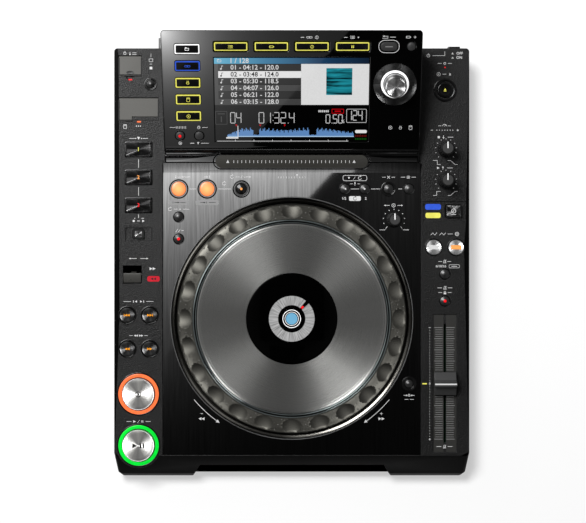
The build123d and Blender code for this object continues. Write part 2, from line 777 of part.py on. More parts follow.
def display_outline():
    """Side view of the display housing, drawn in the Y-Z plane."""
    start_y = lip_back_y + seam_gap
    slope_end_y = crease_y + slope_run
    ridge_y = slope_end_y + groove_run
    with BuildSketch(Plane.YZ) as side:
        with BuildLine():
            Polyline(
                (start_y, deck_z),
                (start_y, deck_z + slope_rise * (start_y - crease_y) / slope_run),
                (slope_end_y, deck_z + slope_rise),
                (slope_end_y + 0.3, deck_z + slope_rise - groove_depth),
                (ridge_y - 0.3, deck_z + slope_rise - groove_depth + 1.0),
                (ridge_y, display_front_z - 1.8),
                (ridge_y + ridge_run / 2, display_front_z - 0.7),
                (display_front_y, display_front_z),
                (display_rear_y, display_rear_z),
                (rear_y, deck_z),
                close=True,
            )
        make_face()
    return side.sketch


def display_housing():
    """Hollow wedge over the rear of the deck, pierced for the screen, the keys and the selector."""
    with BuildPart() as housing:
        extrude(display_outline(), amount=display_width / 2, both=True)
        rear_corners = housing.edges().filter_by(
            lambda edge: abs(edge.center().X) > display_width / 2 - 0.01
            and edge.center().Y > display_rear_y - display_overhang
            and abs(edge.tangent_at(0.5).Z) > 0.9
        )
        fillet(rear_corners, corner_radius)
        extrude(display_hollow(), amount=display_width / 2 - wall, both=True, mode=Mode.SUBTRACT)
        with BuildSketch(slope_plane):
            with Locations((0, strip_middle)):
                SlotOverall(strip_length + 2 * strip_margin, strip_width + strip_margin)
        extrude(amount=-strip_depth, mode=Mode.SUBTRACT)
        with BuildSketch(display_plane):
            with Locations((0, screen_middle)):
                Rectangle(screen_width + 2 * seam_gap, screen_length + 2 * seam_gap)
            with Locations((selector_x, selector_row)):
                Circle(selector_shaft_radius + key_clearance)
        extrude(amount=-wall, mode=Mode.SUBTRACT)
        with BuildSketch(display_plane):
            with Locations((selector_x, selector_row)):
                Circle(dish_radius)
        extrude(amount=-dish_depth, mode=Mode.SUBTRACT)
        all_keys = list(display_keys.values()) + source_keys
        extrude(key_holes(display_plane, all_keys), amount=-wall, mode=Mode.SUBTRACT)
    save(housing.part, "display_housing")


def screen_and_touch_strip():
    """Screen window with the screen module behind it, and the touch strip in its recess."""
    module_grow = 6.0
    module_depth = 4.5
    with BuildPart() as screen:
        with BuildSketch(display_plane.offset(-wall)):
            with Locations((0, screen_middle)):
                Rectangle(screen_width, screen_length)
        extrude(amount=wall)
        with BuildSketch(display_plane.offset(-wall - module_depth)):
            with Locations((0, screen_middle + module_grow / 2)):
                Rectangle(screen_width + 2 * seam_gap, screen_length - module_grow)
        extrude(amount=module_depth)
        with BuildSketch(slope_plane.offset(-strip_depth)):
            with Locations((0, strip_middle)):
                SlotOverall(strip_length, strip_width)
        extrude(amount=strip_depth)
    save(screen.part, "screen_and_touch_strip")


def jog_base():
    """Dished base with a bearing post, and the fixed round display head on top of the post."""
    flange_radius = jog_wall_radius + jog_flange_reach + 5.0
    cone_bottom_z = deck_z - jog_cone_depth
    with BuildPart() as base:
        with BuildSketch(Plane.XZ):
            with BuildLine():
                Polyline(
                    (post_radius - 2.5, jog_floor_z),
                    (flange_radius - 4.0, jog_floor_z),
                    (flange_radius - 4.0, deck_z - wall - 2.0),
                    (flange_radius, deck_z - wall - 2.0),
                    (flange_radius, deck_z - wall),
                    (jog_opening_radius - 0.2, deck_z - wall),
                    (jog_opening_radius - 0.2, deck_z),
                    (jog_wall_radius, cone_bottom_z),
                    (jog_wall_radius, jog_floor_z + jog_floor),
                    (post_radius, jog_floor_z + jog_floor),
                    (post_radius, head_z - head_thickness),
                    (post_radius - 2.5, head_z - head_thickness),
                    close=True,
                )
            make_face()
        revolve(axis=Axis.Z)
        head_plane = Plane.XY.offset(head_z - head_thickness)
        with BuildSketch(head_plane):
            Circle(head_radius)
        extrude(amount=head_thickness)
        with BuildSketch(head_plane):
            Circle(post_radius - 2.5)
        extrude(amount=-4.0)
    save(Pos(0, jog_y, 0) * base.part, "jog_base")


def jog_ring():
    """Turning wheel: finger ring, bright inner rim, web, and a hub that runs on the post."""
    inner_radius = plate_radius + plate_gap
    with BuildPart() as ring:
        with BuildSketch(Plane.XZ):
            with BuildLine():
                Polyline(
                    (post_radius + running_gap, hub_bottom_z),
                    (hub_radius, hub_bottom_z),
                    (hub_radius, jog_bottom_z),
                    (jog_radius, jog_bottom_z),
                    (jog_radius, jog_shoulder_z),
                    (jog_radius - 2.2, jog_crown_z - 1.0),
                    (jog_radius - 5.0, jog_crown_z),
                    (inner_radius + jog_rim_width + 0.6, jog_crown_z),
                    (inner_radius + jog_rim_width, jog_rim_z),
                    (inner_radius, jog_rim_z),
                    (inner_radius, jog_bottom_z + jog_web),
                    (hub_radius, jog_bottom_z + jog_web),
                    (hub_radius, hub_top_z),
                    (post_radius + running_gap, hub_top_z),
                    close=True,
                )
            make_face()
        revolve(axis=Axis.Z)
    save(Pos(0, jog_y, 0) * ring.part, "jog_ring")


def jog_plate():
    """Touch plate inside the ring, round the fixed display head, on a skirt over the ring's web."""
    skirt_bottom_z = jog_bottom_z + jog_web + plate_travel + plate_seat_gap
    with BuildPart() as plate:
        with BuildSketch(Plane.XZ):
            with BuildLine():
                Polyline(
                    (head_radius + head_gap, plate_z - plate_thickness),
                    (plate_skirt_radius - 2.0, plate_z - plate_thickness),
                    (plate_skirt_radius - 2.0, skirt_bottom_z),
                    (plate_skirt_radius, skirt_bottom_z),
                    (plate_skirt_radius, plate_z - plate_thickness),
                    (plate_radius, plate_z - plate_thickness),
                    (plate_radius, plate_z - 0.4),
                    (plate_radius - 0.4, plate_z),
                    (head_radius + head_gap, plate_z),
                    close=True,
                )
            make_face()
        revolve(axis=Axis.Z)
    save(Pos(0, jog_y, 0) * plate.part, "jog_plate")


def selector():
    """Rotary selector: the shaft is pushed along its axis and the knob turns on it."""
    shaft_top = selector_lift + selector_height - 2.0
    with BuildPart() as shaft:
        with BuildSketch(display_plane.offset(-wall - flange_gap)):
            with Locations((selector_x, selector_row)):
                Circle(selector_shaft_radius + 2.0)
        extrude(amount=-flange_thickness)
        with BuildSketch(display_plane.offset(-wall - flange_gap - flange_thickness)):
            with Locations((selector_x, selector_row)):
                Circle(selector_shaft_radius)
        extrude(amount=wall + flange_gap + flange_thickness + shaft_top)
        with BuildSketch(display_plane.offset(-wall - flange_gap - flange_thickness)):
            with Locations((selector_x, selector_row)):
                Circle(stem_radius)
        extrude(amount=-stem_length)
    save(shaft.part, "selector_shaft")
    with BuildPart() as knob:
        with BuildSketch(display_plane.offset(selector_lift)):
            with Locations((selector_x, selector_row)):
                Circle(selector_radius)
        extrude(amount=selector_height)
        fillet(knob.faces().sort_by(SortBy.AREA)[-2:].edges(), 0.6)
        with BuildSketch(display_plane.offset(selector_lift)):
            with Locations((selector_x, selector_row)):
                Circle(selector_shaft_radius + running_gap)
        extrude(amount=selector_height - 2.0 + running_gap, mode=Mode.SUBTRACT)
    save(knob.part, "selector_knob")


def hinged_door(name, door, tab=None):
    """Thin door with a rounded rear edge, turning on two small pins."""
    hinge_y = door.y + door.length / 2 - door_thickness / 2
    hinge_z = deck_z - door_drop - door_thickness / 2
    front_y = door.y - door.length / 2
    with BuildPart() as lid:
        with BuildSketch(Plane.XY.offset(hinge_z - door_thickness / 2)):
            with BuildLine():
                left = door.x - door.width / 2
                right = door.x + door.width / 2
                if tab:
                    Polyline(
                        (left, hinge_y),
                        (left, front_y - tab[1]),
                        (left + tab[0], front_y - tab[1]),
                        (left + tab[0], front_y),
                        (right, front_y),
                        (right, hinge_y),
                        close=True,
                    )
                else:
                    Polyline(
                        (left, hinge_y),
                        (left, front_y),
                        (right, front_y),
                        (right, hinge_y),
                        close=True,
                    )
            make_face()
        extrude(amount=door_thickness)
        with BuildSketch(Plane.YZ.offset(door.x)):
            with Locations((hinge_y, hinge_z)):
                Circle(door_thickness / 2)
        extrude(amount=door.width / 2, both=True)
        with BuildSketch(Plane.YZ.offset(door.x)):
            with Locations((hinge_y, hinge_z)):
                Circle(hinge_pin_radius)
        extrude(amount=door.width / 2 + hinge_pin_length, both=True)
    save(lid.part, name)


def direction_lever():
    """Curved lever head on an arm, turning on a cross pin in the cover's ears."""
    head_width = lever_slot[0] - 2 * lever_side_gap
    pivot_z = deck_z - lever_pivot_depth
    with BuildPart() as lever:
        with BuildSketch(Plane.YZ.offset(lever_x)):
            with Locations((lever_y, pivot_z)):
                Circle(lever_reach)
                Circle(lever_reach - lever_head_depth, mode=Mode.SUBTRACT)
            with BuildLine():
                low_turn = radians(lever_swing + lever_half_angle)
                high_turn = radians(lever_swing - lever_half_angle)
                far = 2 * lever_reach
                Polyline(
                    (lever_y, pivot_z),
                    (lever_y - far * sin(low_turn), pivot_z + far * cos(low_turn)),
                    (lever_y - far * sin(high_turn), pivot_z + far * cos(high_turn)),
                    close=True,
                )
            make_face(mode=Mode.INTERSECT)
        extrude(amount=head_width / 2, both=True)
        arm_plane = Plane.YZ.offset(lever_x)
        with BuildSketch(arm_plane):
            with Locations(Location((lever_y, pivot_z), lever_swing)):
                with Locations((0, (lever_reach - 1.0) / 2)):
                    Rectangle(3.0, lever_reach - 1.0)
            with Locations((lever_y, pivot_z)):
                Circle(3.0)
        extrude(amount=2.5, both=True)
        with BuildSketch(arm_plane):
            with Locations((lever_y, pivot_z)):
                Circle(lever_pin_radius)
        extrude(amount=lever_slot[0] / 2 + lever_ear, both=True)
    save(lever.part, "direction_lever")


def tempo_fader():
    """Fader cap with a raised grip ridge, on a blade that runs in the fader's slot."""
    across, along, high = fader_cap
    base_z = deck_z - fader_recess_depth + 0.5
    blade_bottom_z = deck_z - wall - 5.0
    with BuildPart() as fader:
        with BuildSketch(Plane.YZ.offset(column_x)):
            with BuildLine():
                Polyline(
                    (fader_y - along / 2, base_z),
                    (fader_y - along / 2, base_z + 4.0),
                    (fader_y - 3.0, base_z + high - 3.4),
                    (fader_y - 2.6, base_z + high),
                    (fader_y + 2.6, base_z + high),
                    (fader_y + 3.0, base_z + high - 3.4),
                    (fader_y + along / 2, base_z + 4.0),
                    (fader_y + along / 2, base_z),
                    close=True,
                )
            make_face()
        extrude(amount=across / 2, both=True)
        with BuildSketch(Plane.XY.offset(base_z)):
            with Locations((column_x, fader_y)):
                Rectangle(stem_across, stem_along)
        extrude(amount=blade_bottom_z - base_z)
    save(fader.part, "tempo_fader")


def disc_drive():
    """Drive body with the disc's way through it, a feed roller, and a pickup sled on two rails."""
    front_y = notch_wall_y + drive_setback
    middle_y = front_y + drive_length / 2
    cavity_length = drive_length - 8.0
    cavity_bottom_z = disc_slot_z - disc_slot_height / 2
    trough = 2 * (roller_radius + 0.4)
    roller_y = front_y + 9.0
    with BuildPart() as drive:
        with BuildSketch(Plane.XY.offset(drive_bottom_z)):
            with Locations((0, middle_y)):
                Rectangle(drive_width, drive_length)
        extrude(amount=drive_top_z - drive_bottom_z)
        with BuildSketch(Plane.XY.offset(cavity_bottom_z)):
            with Locations((0, front_y + cavity_length / 2)):
                Rectangle(disc_slot_width, cavity_length)
        extrude(amount=disc_slot_height, mode=Mode.SUBTRACT)
        # Well for the turntable, window for the pickup, trough for the roller.
        with BuildSketch(Plane.XY.offset(drive_bottom_z + wall)):
            with Locations((0, spindle_y)):
                Circle(turntable_radius + 1.0)
            with Locations((0, spindle_y + 32.0)):
                Rectangle(34.0, 48.0)
            with Locations((0, roller_y)):
                Rectangle(disc_slot_width - 4.0, trough)
        extrude(amount=cavity_bottom_z - drive_bottom_z - wall, mode=Mode.SUBTRACT)
        with BuildSketch(Plane.XY.offset(drive_bottom_z)):
            with Locations((0, spindle_y)):
                Circle(spindle_radius + running_gap)
        extrude(amount=wall, mode=Mode.SUBTRACT)
        with BuildSketch(Plane.XY.offset(foot_height + wall)):
            for x in (-drive_width / 2 + leg_radius + 2, drive_width / 2 - leg_radius - 2):
                for y in (front_y + leg_radius + 2, front_y + drive_length - leg_radius - 2):
                    with Locations((x, y)):
                        Circle(leg_radius)
        extrude(amount=drive_bottom_z - foot_height - wall)
    with BuildPart() as roller:
        with BuildSketch(Plane.YZ):
            with Locations((roller_y, cavity_bottom_z - roller_radius - 0.1)):
                Circle(roller_radius - 0.9)
        extrude(amount=disc_slot_width / 2 - 2.4, both=True)
    with BuildPart() as sled:
        rail_z = drive_bottom_z + wall + 2.3
        with BuildSketch(Plane.XZ.offset(-(spindle_y + turntable_radius + 0.8))):
            with Locations((-13.0, rail_z), (13.0, rail_z)):
                Circle(1.5)
        extrude(amount=-(56.0 - turntable_radius - 0.9))
        with BuildSketch(Plane.XY.offset(rail_z - 1.8)):
            with Locations((0, spindle_y + 34.0)):
                Rectangle(31.0, 16.0)
        extrude(amount=4.2)
        with BuildSketch(Plane.XY.offset(rail_z + 2.4)):
            with Locations((0, spindle_y + 34.0)):
                Circle(3.0)
        extrude(amount=0.8)
    save(Compound(children=[drive.part, roller.part, sled.part]), "disc_drive")


def disc_spindle():
    """Turntable with a centring cone, on the motor shaft in the drive's floor."""
    seat_z = disc_slot_z - disc_slot_height / 2 - spindle_clearance
    with BuildPart() as spindle:
        with BuildSketch(Plane.XY.offset(seat_z - 2.0)):
            with Locations((0, spindle_y)):
                Circle(turntable_radius)
        extrude(amount=1.2)
        with BuildSketch(Plane.XY.offset(seat_z - 0.8)):
            with Locations((0, spindle_y)):
                Circle(7.4)
        extrude(amount=0.8)
        chamfer(spindle.faces().sort_by(Axis.Z)[-1].edges(), 0.5)
        with BuildSketch(Plane.XY.offset(drive_bottom_z)):
            with Locations((0, spindle_y)):
                Circle(spindle_radius)
        extrude(amount=seat_z - 2.0 - drive_bottom_z)
    save(spindle.part, "disc_spindle")


def key_board(plane, sheet, keys, pillars, knobs=()):
    """Board under a panel, with a switch for each key and a pot for each knob, hung on pillars."""
    with BuildPart() as board:
        with BuildSketch(plane.offset(-board_depth)):
            add(sheet)
        extrude(amount=-board_thickness)
        with BuildSketch(plane.offset(-board_depth)):
            for key in keys:
                with Locations((key.x, key.y)):
                    Rectangle(switch_side, switch_side)
        extrude(amount=switch_height)
        with BuildSketch(plane.offset(-board_depth)):
            with Locations(*pillars):
                Circle(pillar_radius)
        extrude(amount=board_depth - wall)
        for knob in knobs:
            with BuildSketch(plane.offset(-board_depth)):
                with Locations((knob.x, knob.y)):
                    Rectangle(pot_side, pot_side)
                    Circle(knob_shaft_radius + running_gap, mode=Mode.SUBTRACT)
            extrude(amount=pot_height)
    return board.part


def circuit_boards():
    """Key boards under every panel, the fader's body, the selector's encoder, main and power boards."""
    boards = []
    left_keys = [key for key in column_keys.values() if key.x < 0 and key.y < pad_y + 2 * pad_pitch + 1]
    with BuildSketch() as left_sheet:
        front = play_y - 6.0
        back = pad_y + 2 * pad_pitch + 10.0
        with Locations((-column_x, (front + back) / 2)):
            Rectangle(column_width - 10.0, back - front)
        with Locations(boss_places[0]):
            Circle(boss_radius + 1.0, mode=Mode.SUBTRACT)
        with Locations((lever_x, lever_y)):
            Rectangle(lever_slot[0] + 2 * lever_ear + 1.0, 2 * lever_reach, mode=Mode.SUBTRACT)
    # Pillars between the rows, away from the flanges and the lever.
    left_pillars = [
        (-column_x, (search_y + cue_y) / 2),
        (-column_x, (call_y + pad_y) / 2),
        (-column_x, pad_y + pad_pitch / 2),
    ]
    boards.append(key_board(deck_plane, left_sheet.sketch, left_keys, left_pillars))

    right_keys = [key for key in column_keys.values() if key.x > 0]
    with BuildSketch() as right_sheet:
        front = fader_y + fader_body[1] / 2 + 2.0
        back = eject_y + 12.0
        with Locations((column_x, (front + back) / 2)):
            Rectangle(column_width - 10.0, back - front)
        with Locations(boss_places[3]):
            Circle(boss_radius + 1.0, mode=Mode.SUBTRACT)
    right_pillars = [
        (column_x, (tempo_range_y + master_tempo_y) / 2),
        (column_x, (tempo_range_y + sync_y) / 2 + 2),
        (column_x, eject_y - 16.0),
    ]
    knobs = column_knobs.values()
    boards.append(key_board(deck_plane, right_sheet.sketch, right_keys, right_pillars, knobs))

    stop = column_keys["usb_stop_button"]
    with BuildSketch() as stop_sheet:
        with Locations((stop.x + 1.0, stop.y)):
            Rectangle(12.0, 14.0)
    boards.append(key_board(deck_plane, stop_sheet.sketch, [stop], [(stop.x + 5.0, stop.y - 6.0)]))

    clear_radius = jog_wall_radius + jog_flange_reach + 6.0
    reset = panel_keys["tempo_reset_button"]
    rear_keys = [key for key in panel_keys.values() if key is not reset]
    with BuildSketch() as panel_sheet:
        front = slip_y - 12.0
        with Locations((0, (front + crease_y) / 2)):
            Rectangle(panel_width - 2 * ledge_width - 2.0, crease_y - front)
        with Locations((0, jog_y)):
            Circle(clear_radius, mode=Mode.SUBTRACT)
    out_x = (panel_keys["loop_out_button"].x + panel_keys["reloop_button"].x) / 2
    next_x = (panel_keys["call_next_button"].x + panel_keys["delete_button"].x) / 2
    panel_pillars = [(out_x, loop_row_y + 4.0), (0.0, loop_row_y + 5.0), (next_x, loop_row_y - 6.0)]
    knobs = panel_knobs.values()
    boards.append(key_board(deck_plane, panel_sheet.sketch, rear_keys, panel_pillars, knobs))

    with BuildSketch() as reset_sheet:
        with Locations((reset.x - 2.0, reset.y - 4.0)):
            Rectangle(12.0, 20.0)
        with Locations((0, jog_y)):
            Circle(clear_radius, mode=Mode.SUBTRACT)
    boards.append(key_board(deck_plane, reset_sheet.sketch, [reset], [(reset.x, reset.y - 11.0)]))

    selector_push = Key(selector_x, selector_row, stem_radius, 0.0)
    display_list = list(display_keys.values()) + source_keys + [selector_push]
    with BuildSketch() as display_sheet:
        front = 5.5
        back = display_length - 10.5
        with Locations((0, (front + back) / 2)):
            Rectangle(display_width - 8.0, back - front)
    side_x = display_width / 2 - 7.5
    screen_side_x = -screen_width / 2 - 4.6
    display_pillars = [
        (-side_x, 48.0),
        (-side_x, 88.0),
        (side_x, 20.0),
        (side_x, 76.0),
        (screen_side_x, 60.0),
    ]
    boards.append(key_board(display_plane, display_sheet.sketch, display_list, display_pillars))

    with BuildPart() as fader_unit:
        with BuildSketch(deck_plane.offset(-wall)):
            with Locations((column_x, fader_y)):
                Rectangle(fader_body[0], fader_body[1])
        extrude(amount=-fader_body[2])
        with BuildSketch(deck_plane.offset(-wall)):
            with Locations((column_x, fader_y)):
                Rectangle(fader_slot + 1.0, fader_slot_length)
        extrude(amount=-5.5, mode=Mode.SUBTRACT)
    boards.append(fader_unit.part)

    with BuildSketch() as power_sheet:
        with Locations((power_key.x, power_key.y)):
            Rectangle(14.0, 22.0)
    power_pillars = [(power_key.x, power_key.y - 8.5), (power_key.x, power_key.y + 8.5)]
    boards.append(key_board(rear_plane, power_sheet.sketch, [power_key], power_pillars))

    # Main board and power board stand on posts from the tray's floor, behind the drive.
    for x, width, length, block in ((-70.0, 130.0, 130.0, 8.0), (70.0, 90.0, 130.0, 18.0)):
        floor = foot_height + wall
        middle_y = rear_y - 36.0 - length / 2
        with BuildPart() as loose_board:
            with BuildSketch(Plane.XY.offset(floor + 4.0)):
                with Locations((x, middle_y)):
                    Rectangle(width, length)
            extrude(amount=board_thickness)
            with BuildSketch(Plane.XY.offset(floor)):
                with Locations((x, middle_y)):
                    with GridLocations(width - 12.0, length - 12.0, 2, 2):
                        Circle(3.0)
            extrude(amount=4.0)
            with BuildSketch(Plane.XY.offset(floor + 4.0 + board_thickness)):
                with Locations((x, middle_y)):
                    with GridLocations(34.0, 40.0, 2, 2):
                        RectangleRounded(22.0, 26.0, 2.0)
            extrude(amount=block)
        boards.append(loose_board.part)
    save(Compound(children=boards), "circuit_boards")


def feet():
    """Four rubber feet, each pressed into the tray by a stud."""
    with BuildPart() as pads:
        with BuildSketch(Plane.XY):
            with Locations(*foot_places):
                Circle(foot_radius)
        extrude(amount=foot_height)
        with BuildSketch(Plane.XY.offset(foot_height)):
            with Locations(*foot_places):
                Circle(foot_stud)
        extrude(amount=wall + 1.0)
    save(pads.part, "feet")


def case_screws():
    """Screws from below through the tray into the cover's bosses."""
    with BuildPart() as screws:
        with BuildSketch(Plane.XY.offset(foot_height)):
            with Locations(*boss_places):
                Circle(screw_head_radius)
        extrude(amount=screw_head)
        with BuildSketch(Plane.XY.offset(foot_height + screw_head)):
            with Locations(*boss_places):
                Circle(screw_radius)
        extrude(amount=16.0)
    save(screws.part, "case_screws")


top_cover()
deck_panel()
lower_case()
sockets()
display_housing()
screen_and_touch_strip()
jog_base()
jog_ring()
jog_plate()
selector()
hinged_door("usb_lid", usb_door)
hinged_door("card_door", card_door, card_tab)
direction_lever()
tempo_fader()
disc_drive()
disc_spindle()
circuit_boards()
feet()
case_screws()
for name, key in column_keys.items():
    make_keys(name, deck_plane, [key])
for name, key in panel_keys.items():
    make_keys(name, deck_plane, [key])
for name, key in display_keys.items():
    make_keys(name, display_plane, [key])
make_keys("source_keys", display_plane, source_keys, strap=True)
make_keys("power_button", rear_plane, [power_key])
for name, knob in (column_knobs | panel_knobs).items():
    make_knob(name, knob)
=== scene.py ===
"""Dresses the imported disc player: camera, light, finishes and the visible pieces round the CAD frame.

Lengths are in millimetres on a face of the player, until that face's matrix turns them into the row
frame's metres.
"""

import json
from collections import namedtuple
from math import atan2, cos, hypot, pi, radians, sin

import bmesh
import bpy
from mathutils import Matrix, Vector


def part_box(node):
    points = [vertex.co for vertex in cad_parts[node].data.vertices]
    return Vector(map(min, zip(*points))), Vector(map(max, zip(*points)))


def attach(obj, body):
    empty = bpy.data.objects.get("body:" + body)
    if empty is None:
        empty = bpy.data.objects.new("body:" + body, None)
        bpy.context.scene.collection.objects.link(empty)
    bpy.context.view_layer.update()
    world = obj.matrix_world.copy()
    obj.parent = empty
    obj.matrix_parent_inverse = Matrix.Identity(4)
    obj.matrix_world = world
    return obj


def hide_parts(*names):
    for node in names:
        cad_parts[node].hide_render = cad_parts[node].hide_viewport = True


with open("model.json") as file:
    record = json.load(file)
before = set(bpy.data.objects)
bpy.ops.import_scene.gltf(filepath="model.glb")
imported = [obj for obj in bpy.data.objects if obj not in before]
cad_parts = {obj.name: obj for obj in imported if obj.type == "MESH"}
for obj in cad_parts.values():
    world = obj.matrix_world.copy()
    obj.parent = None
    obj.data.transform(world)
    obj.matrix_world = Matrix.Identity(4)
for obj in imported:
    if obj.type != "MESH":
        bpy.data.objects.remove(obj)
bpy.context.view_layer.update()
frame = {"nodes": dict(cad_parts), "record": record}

MM = 0.001
scene = bpy.context.scene

# ---- Faces of the player -------------------------------------------------------------------------
deck_z = 60.0
deck_front_y = -177.0
crease_y = 78.1
rear_y = 190.0
display_front = (100.9, 70.0)
display_rear = (198.9, 106.3)
display_tilt = atan2(display_rear[1] - display_front[1], display_rear[0] - display_front[0])
lip_tilt = atan2(6.0, 15.3)
jog_y = -53.0
column_x = 137.85
left_x = -column_x


def face(origin, tilt=0.0, turn=0.0):
    """Matrix from a flat face's own millimetres to metres in the row frame."""
    place = Matrix.Translation(Vector(origin) * MM)
    return place @ Matrix.Rotation(turn, 4, "Z") @ Matrix.Rotation(tilt, 4, "X") @ Matrix.Scale(MM, 4)


deck = face((0, 0, deck_z))
wheel = face((0, jog_y, 0))
display = face((0, display_front[0], display_front[1]), display_tilt)
lip = face((0, crease_y, deck_z), lip_tilt)
back = face((0, rear_y, 0), pi / 2, pi)

Spot = namedtuple("Spot", "x y width length top")
flange = 1.55  # a key's flange stands this far out beyond its cap on each side


def spot(node, on, rim=flange):
    """Where a CAD node stands on a face: middle, cap size and top."""
    home = on.inverted()
    points = [home @ vertex.co for vertex in frame["nodes"][node].data.vertices]
    low = [min(point[axis] for point in points) for axis in range(3)]
    high = [max(point[axis] for point in points) for axis in range(3)]
    width = high[0] - low[0] - 2 * rim
    length = high[1] - low[1] - 2 * rim
    return Spot((low[0] + high[0]) / 2, (low[1] + high[1]) / 2, width, length, high[2])


# ---- Working meshes ------------------------------------------------------------------------------
full_turn = 2 * pi
weld = 0.0005  # points closer than this become one


def turned(profile, steps=64, closed=False, swing=full_turn):
    """A shape turned on the Z axis from (radius, height) points."""
    work = bmesh.new()
    points = [work.verts.new((radius, 0.0, height)) for radius, height in profile]
    lines = [work.edges.new(pair) for pair in zip(points, points[1:])]
    if closed:
        lines.append(work.edges.new((points[-1], points[0])))
    whole = swing == full_turn
    section = points + lines if whole else points + lines + [work.faces.new(points)]
    bmesh.ops.spin(
        work, geom=section, cent=(0, 0, 0), axis=(0, 0, 1), angle=swing, steps=steps,
        use_merge=whole, use_duplicate=False,
    )
    bmesh.ops.remove_doubles(work, verts=work.verts, dist=weld)
    return work


def band(inner, outer, low, high, steps=64, start=0.0, swing=full_turn):
    """A flat ring, or a part of one, between two heights."""
    profile = [(inner, low), (outer, low), (outer, high), (inner, high)]
    work = turned(profile, steps, closed=True, swing=swing)
    return moved(work, turn=start)


def raised(work, low, high):
    """Gives a flat shape its thickness, between two heights."""
    bmesh.ops.translate(work, vec=(0, 0, low), verts=work.verts)
    grown = bmesh.ops.extrude_face_region(work, geom=work.faces[:])["geom"]
    tops = [item for item in grown if isinstance(item, bmesh.types.BMVert)]
    bmesh.ops.translate(work, vec=(0, 0, high - low), verts=tops)
    return work


def flat(width, length, corner=0.0, steps=4):
    """A flat rectangle with rounded corners."""
    work = bmesh.new()
    bmesh.ops.create_grid(work, x_segments=1, y_segments=1, size=0.5)
    bmesh.ops.scale(work, vec=(width, length, 1), verts=work.verts)
    if corner:
        bmesh.ops.bevel(
            work, geom=work.verts[:], offset=corner, segments=steps, affect="VERTICES", profile=0.5,
            material=-1,
        )
    return work


def plate(width, length, low, high, corner=0.0, steps=5):
    """A plate with rounded corners, between two heights."""
    return raised(flat(width, length, corner, steps), low, high)


def outline(width, length, line, low, high, corner=0.0):
    """A rectangular frame with rounded corners, `line` wide inside its outer size."""
    work = flat(width, length, corner)
    middle = work.faces[:]
    bmesh.ops.inset_region(
        work, faces=middle, thickness=line, depth=0.0, use_boundary=True, use_even_offset=True
    )
    bmesh.ops.delete(work, geom=middle, context="FACES")
    return raised(work, low, high)


def wedge(points, low, high):
    """A small plate with straight sides through a few points."""
    work = bmesh.new()
    work.faces.new([work.verts.new((x, y, 0.0)) for x, y in points])
    return raised(work, low, high)


def softened(work, width, segments=2, sharper_than=30.0):
    """Rounds the edges that are sharper than an angle in degrees."""
    bmesh.ops.recalc_face_normals(work, faces=work.faces)
    edges = [
        edge for edge in work.edges
        if len(edge.link_faces) == 2 and edge.calc_face_angle() > radians(sharper_than)
    ]
    bmesh.ops.bevel(
        work, geom=edges, offset=width, segments=segments, affect="EDGES", profile=0.5, material=-1,
        offset_type="OFFSET", clamp_overlap=False,
    )
    return work


def moved(work, x=0.0, y=0.0, z=0.0, turn=0.0):
    """Turns a shape about Z and shifts it."""
    bmesh.ops.rotate(work, verts=work.verts, cent=(0, 0, 0), matrix=Matrix.Rotation(turn, 3, "Z"))
    bmesh.ops.translate(work, vec=(x, y, z), verts=work.verts)
    return work


def joined(shapes):
    """Several shapes as one working mesh."""
    whole = bmesh.new()
    for shape in shapes:
        part = bpy.data.meshes.new("part")
        shape.to_mesh(part)
        shape.free()
        whole.from_mesh(part)
        bpy.data.meshes.remove(part)
    return whole


def wrapped(work):
    """Adds the UV map of a turned shape: u goes once round, v is the radius in centimetres."""
    layer = work.loops.layers.uv.new("turned")
    for surface in work.faces:
        middle = surface.calc_center_median()
        toward = atan2(middle.y, middle.x)
        for corner in surface.loops:
            place = corner.vert.co
            radius = hypot(place.x, place.y)
            angle = atan2(place.y, place.x) if radius > 0.001 else toward
            angle = toward + (angle - toward + pi) % (2 * pi) - pi
            corner[layer].uv = (angle / (2 * pi), radius / 10)
    return work


font_size, font_weight = 1.4, 0.022  # for a figure of height 1


def lettered(text, height, low, high):
    """Plain figures or ON and OFF as a raised shape, with their middle at the origin."""
    curve = bpy.data.curves.new("figures", "FONT")
    curve.body = text
    curve.size = height * font_size
    curve.align_x = "CENTER"
    curve.align_y = "CENTER"
    curve.resolution_u = 2
    curve.offset = height * font_weight
    figures = bpy.data.objects.new("figures", curve)
    scene.collection.objects.link(figures)
    bpy.context.view_layer.update()
    flat = bpy.data.meshes.new_from_object(figures)
    work = bmesh.new()
    work.from_mesh(flat)
    bpy.data.objects.remove(figures)
    bpy.data.curves.remove(curve)
    bpy.data.meshes.remove(flat)
    bmesh.ops.remove_doubles(work, verts=work.verts, dist=0.001)
    return raised(work, low, high)


# ---- Pieces --------------------------------------------------------------------------------------
finishes = {}


def made_object(name, work, finish):
    """Puts a working mesh into the scene with its finish."""
    mesh = bpy.data.meshes.new(name)
    work.to_mesh(mesh)
    work.free()
    made = bpy.data.objects.new(name, mesh)
    scene.collection.objects.link(made)
    mesh.materials.append(finish)
    return made


def piece(
    name, work, on, slot, body="player", stands_for=(), finish=None, smooth=35.0, turned_map=False
):
    """Sets a working mesh on a face, gives it its finish and lets it move with a body."""
    bmesh.ops.remove_doubles(work, verts=work.verts, dist=weld)
    bmesh.ops.recalc_face_normals(work, faces=work.faces)
    if turned_map:
        wrapped(work)
    work.transform(on)
    made = made_object(name, work, finishes[finish or slot])
    made.data.shade_smooth()
    made.data.set_sharp_from_angle(angle=radians(smooth))
    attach(made, body)
    if stands_for:
        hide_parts(*stands_for)
    return made


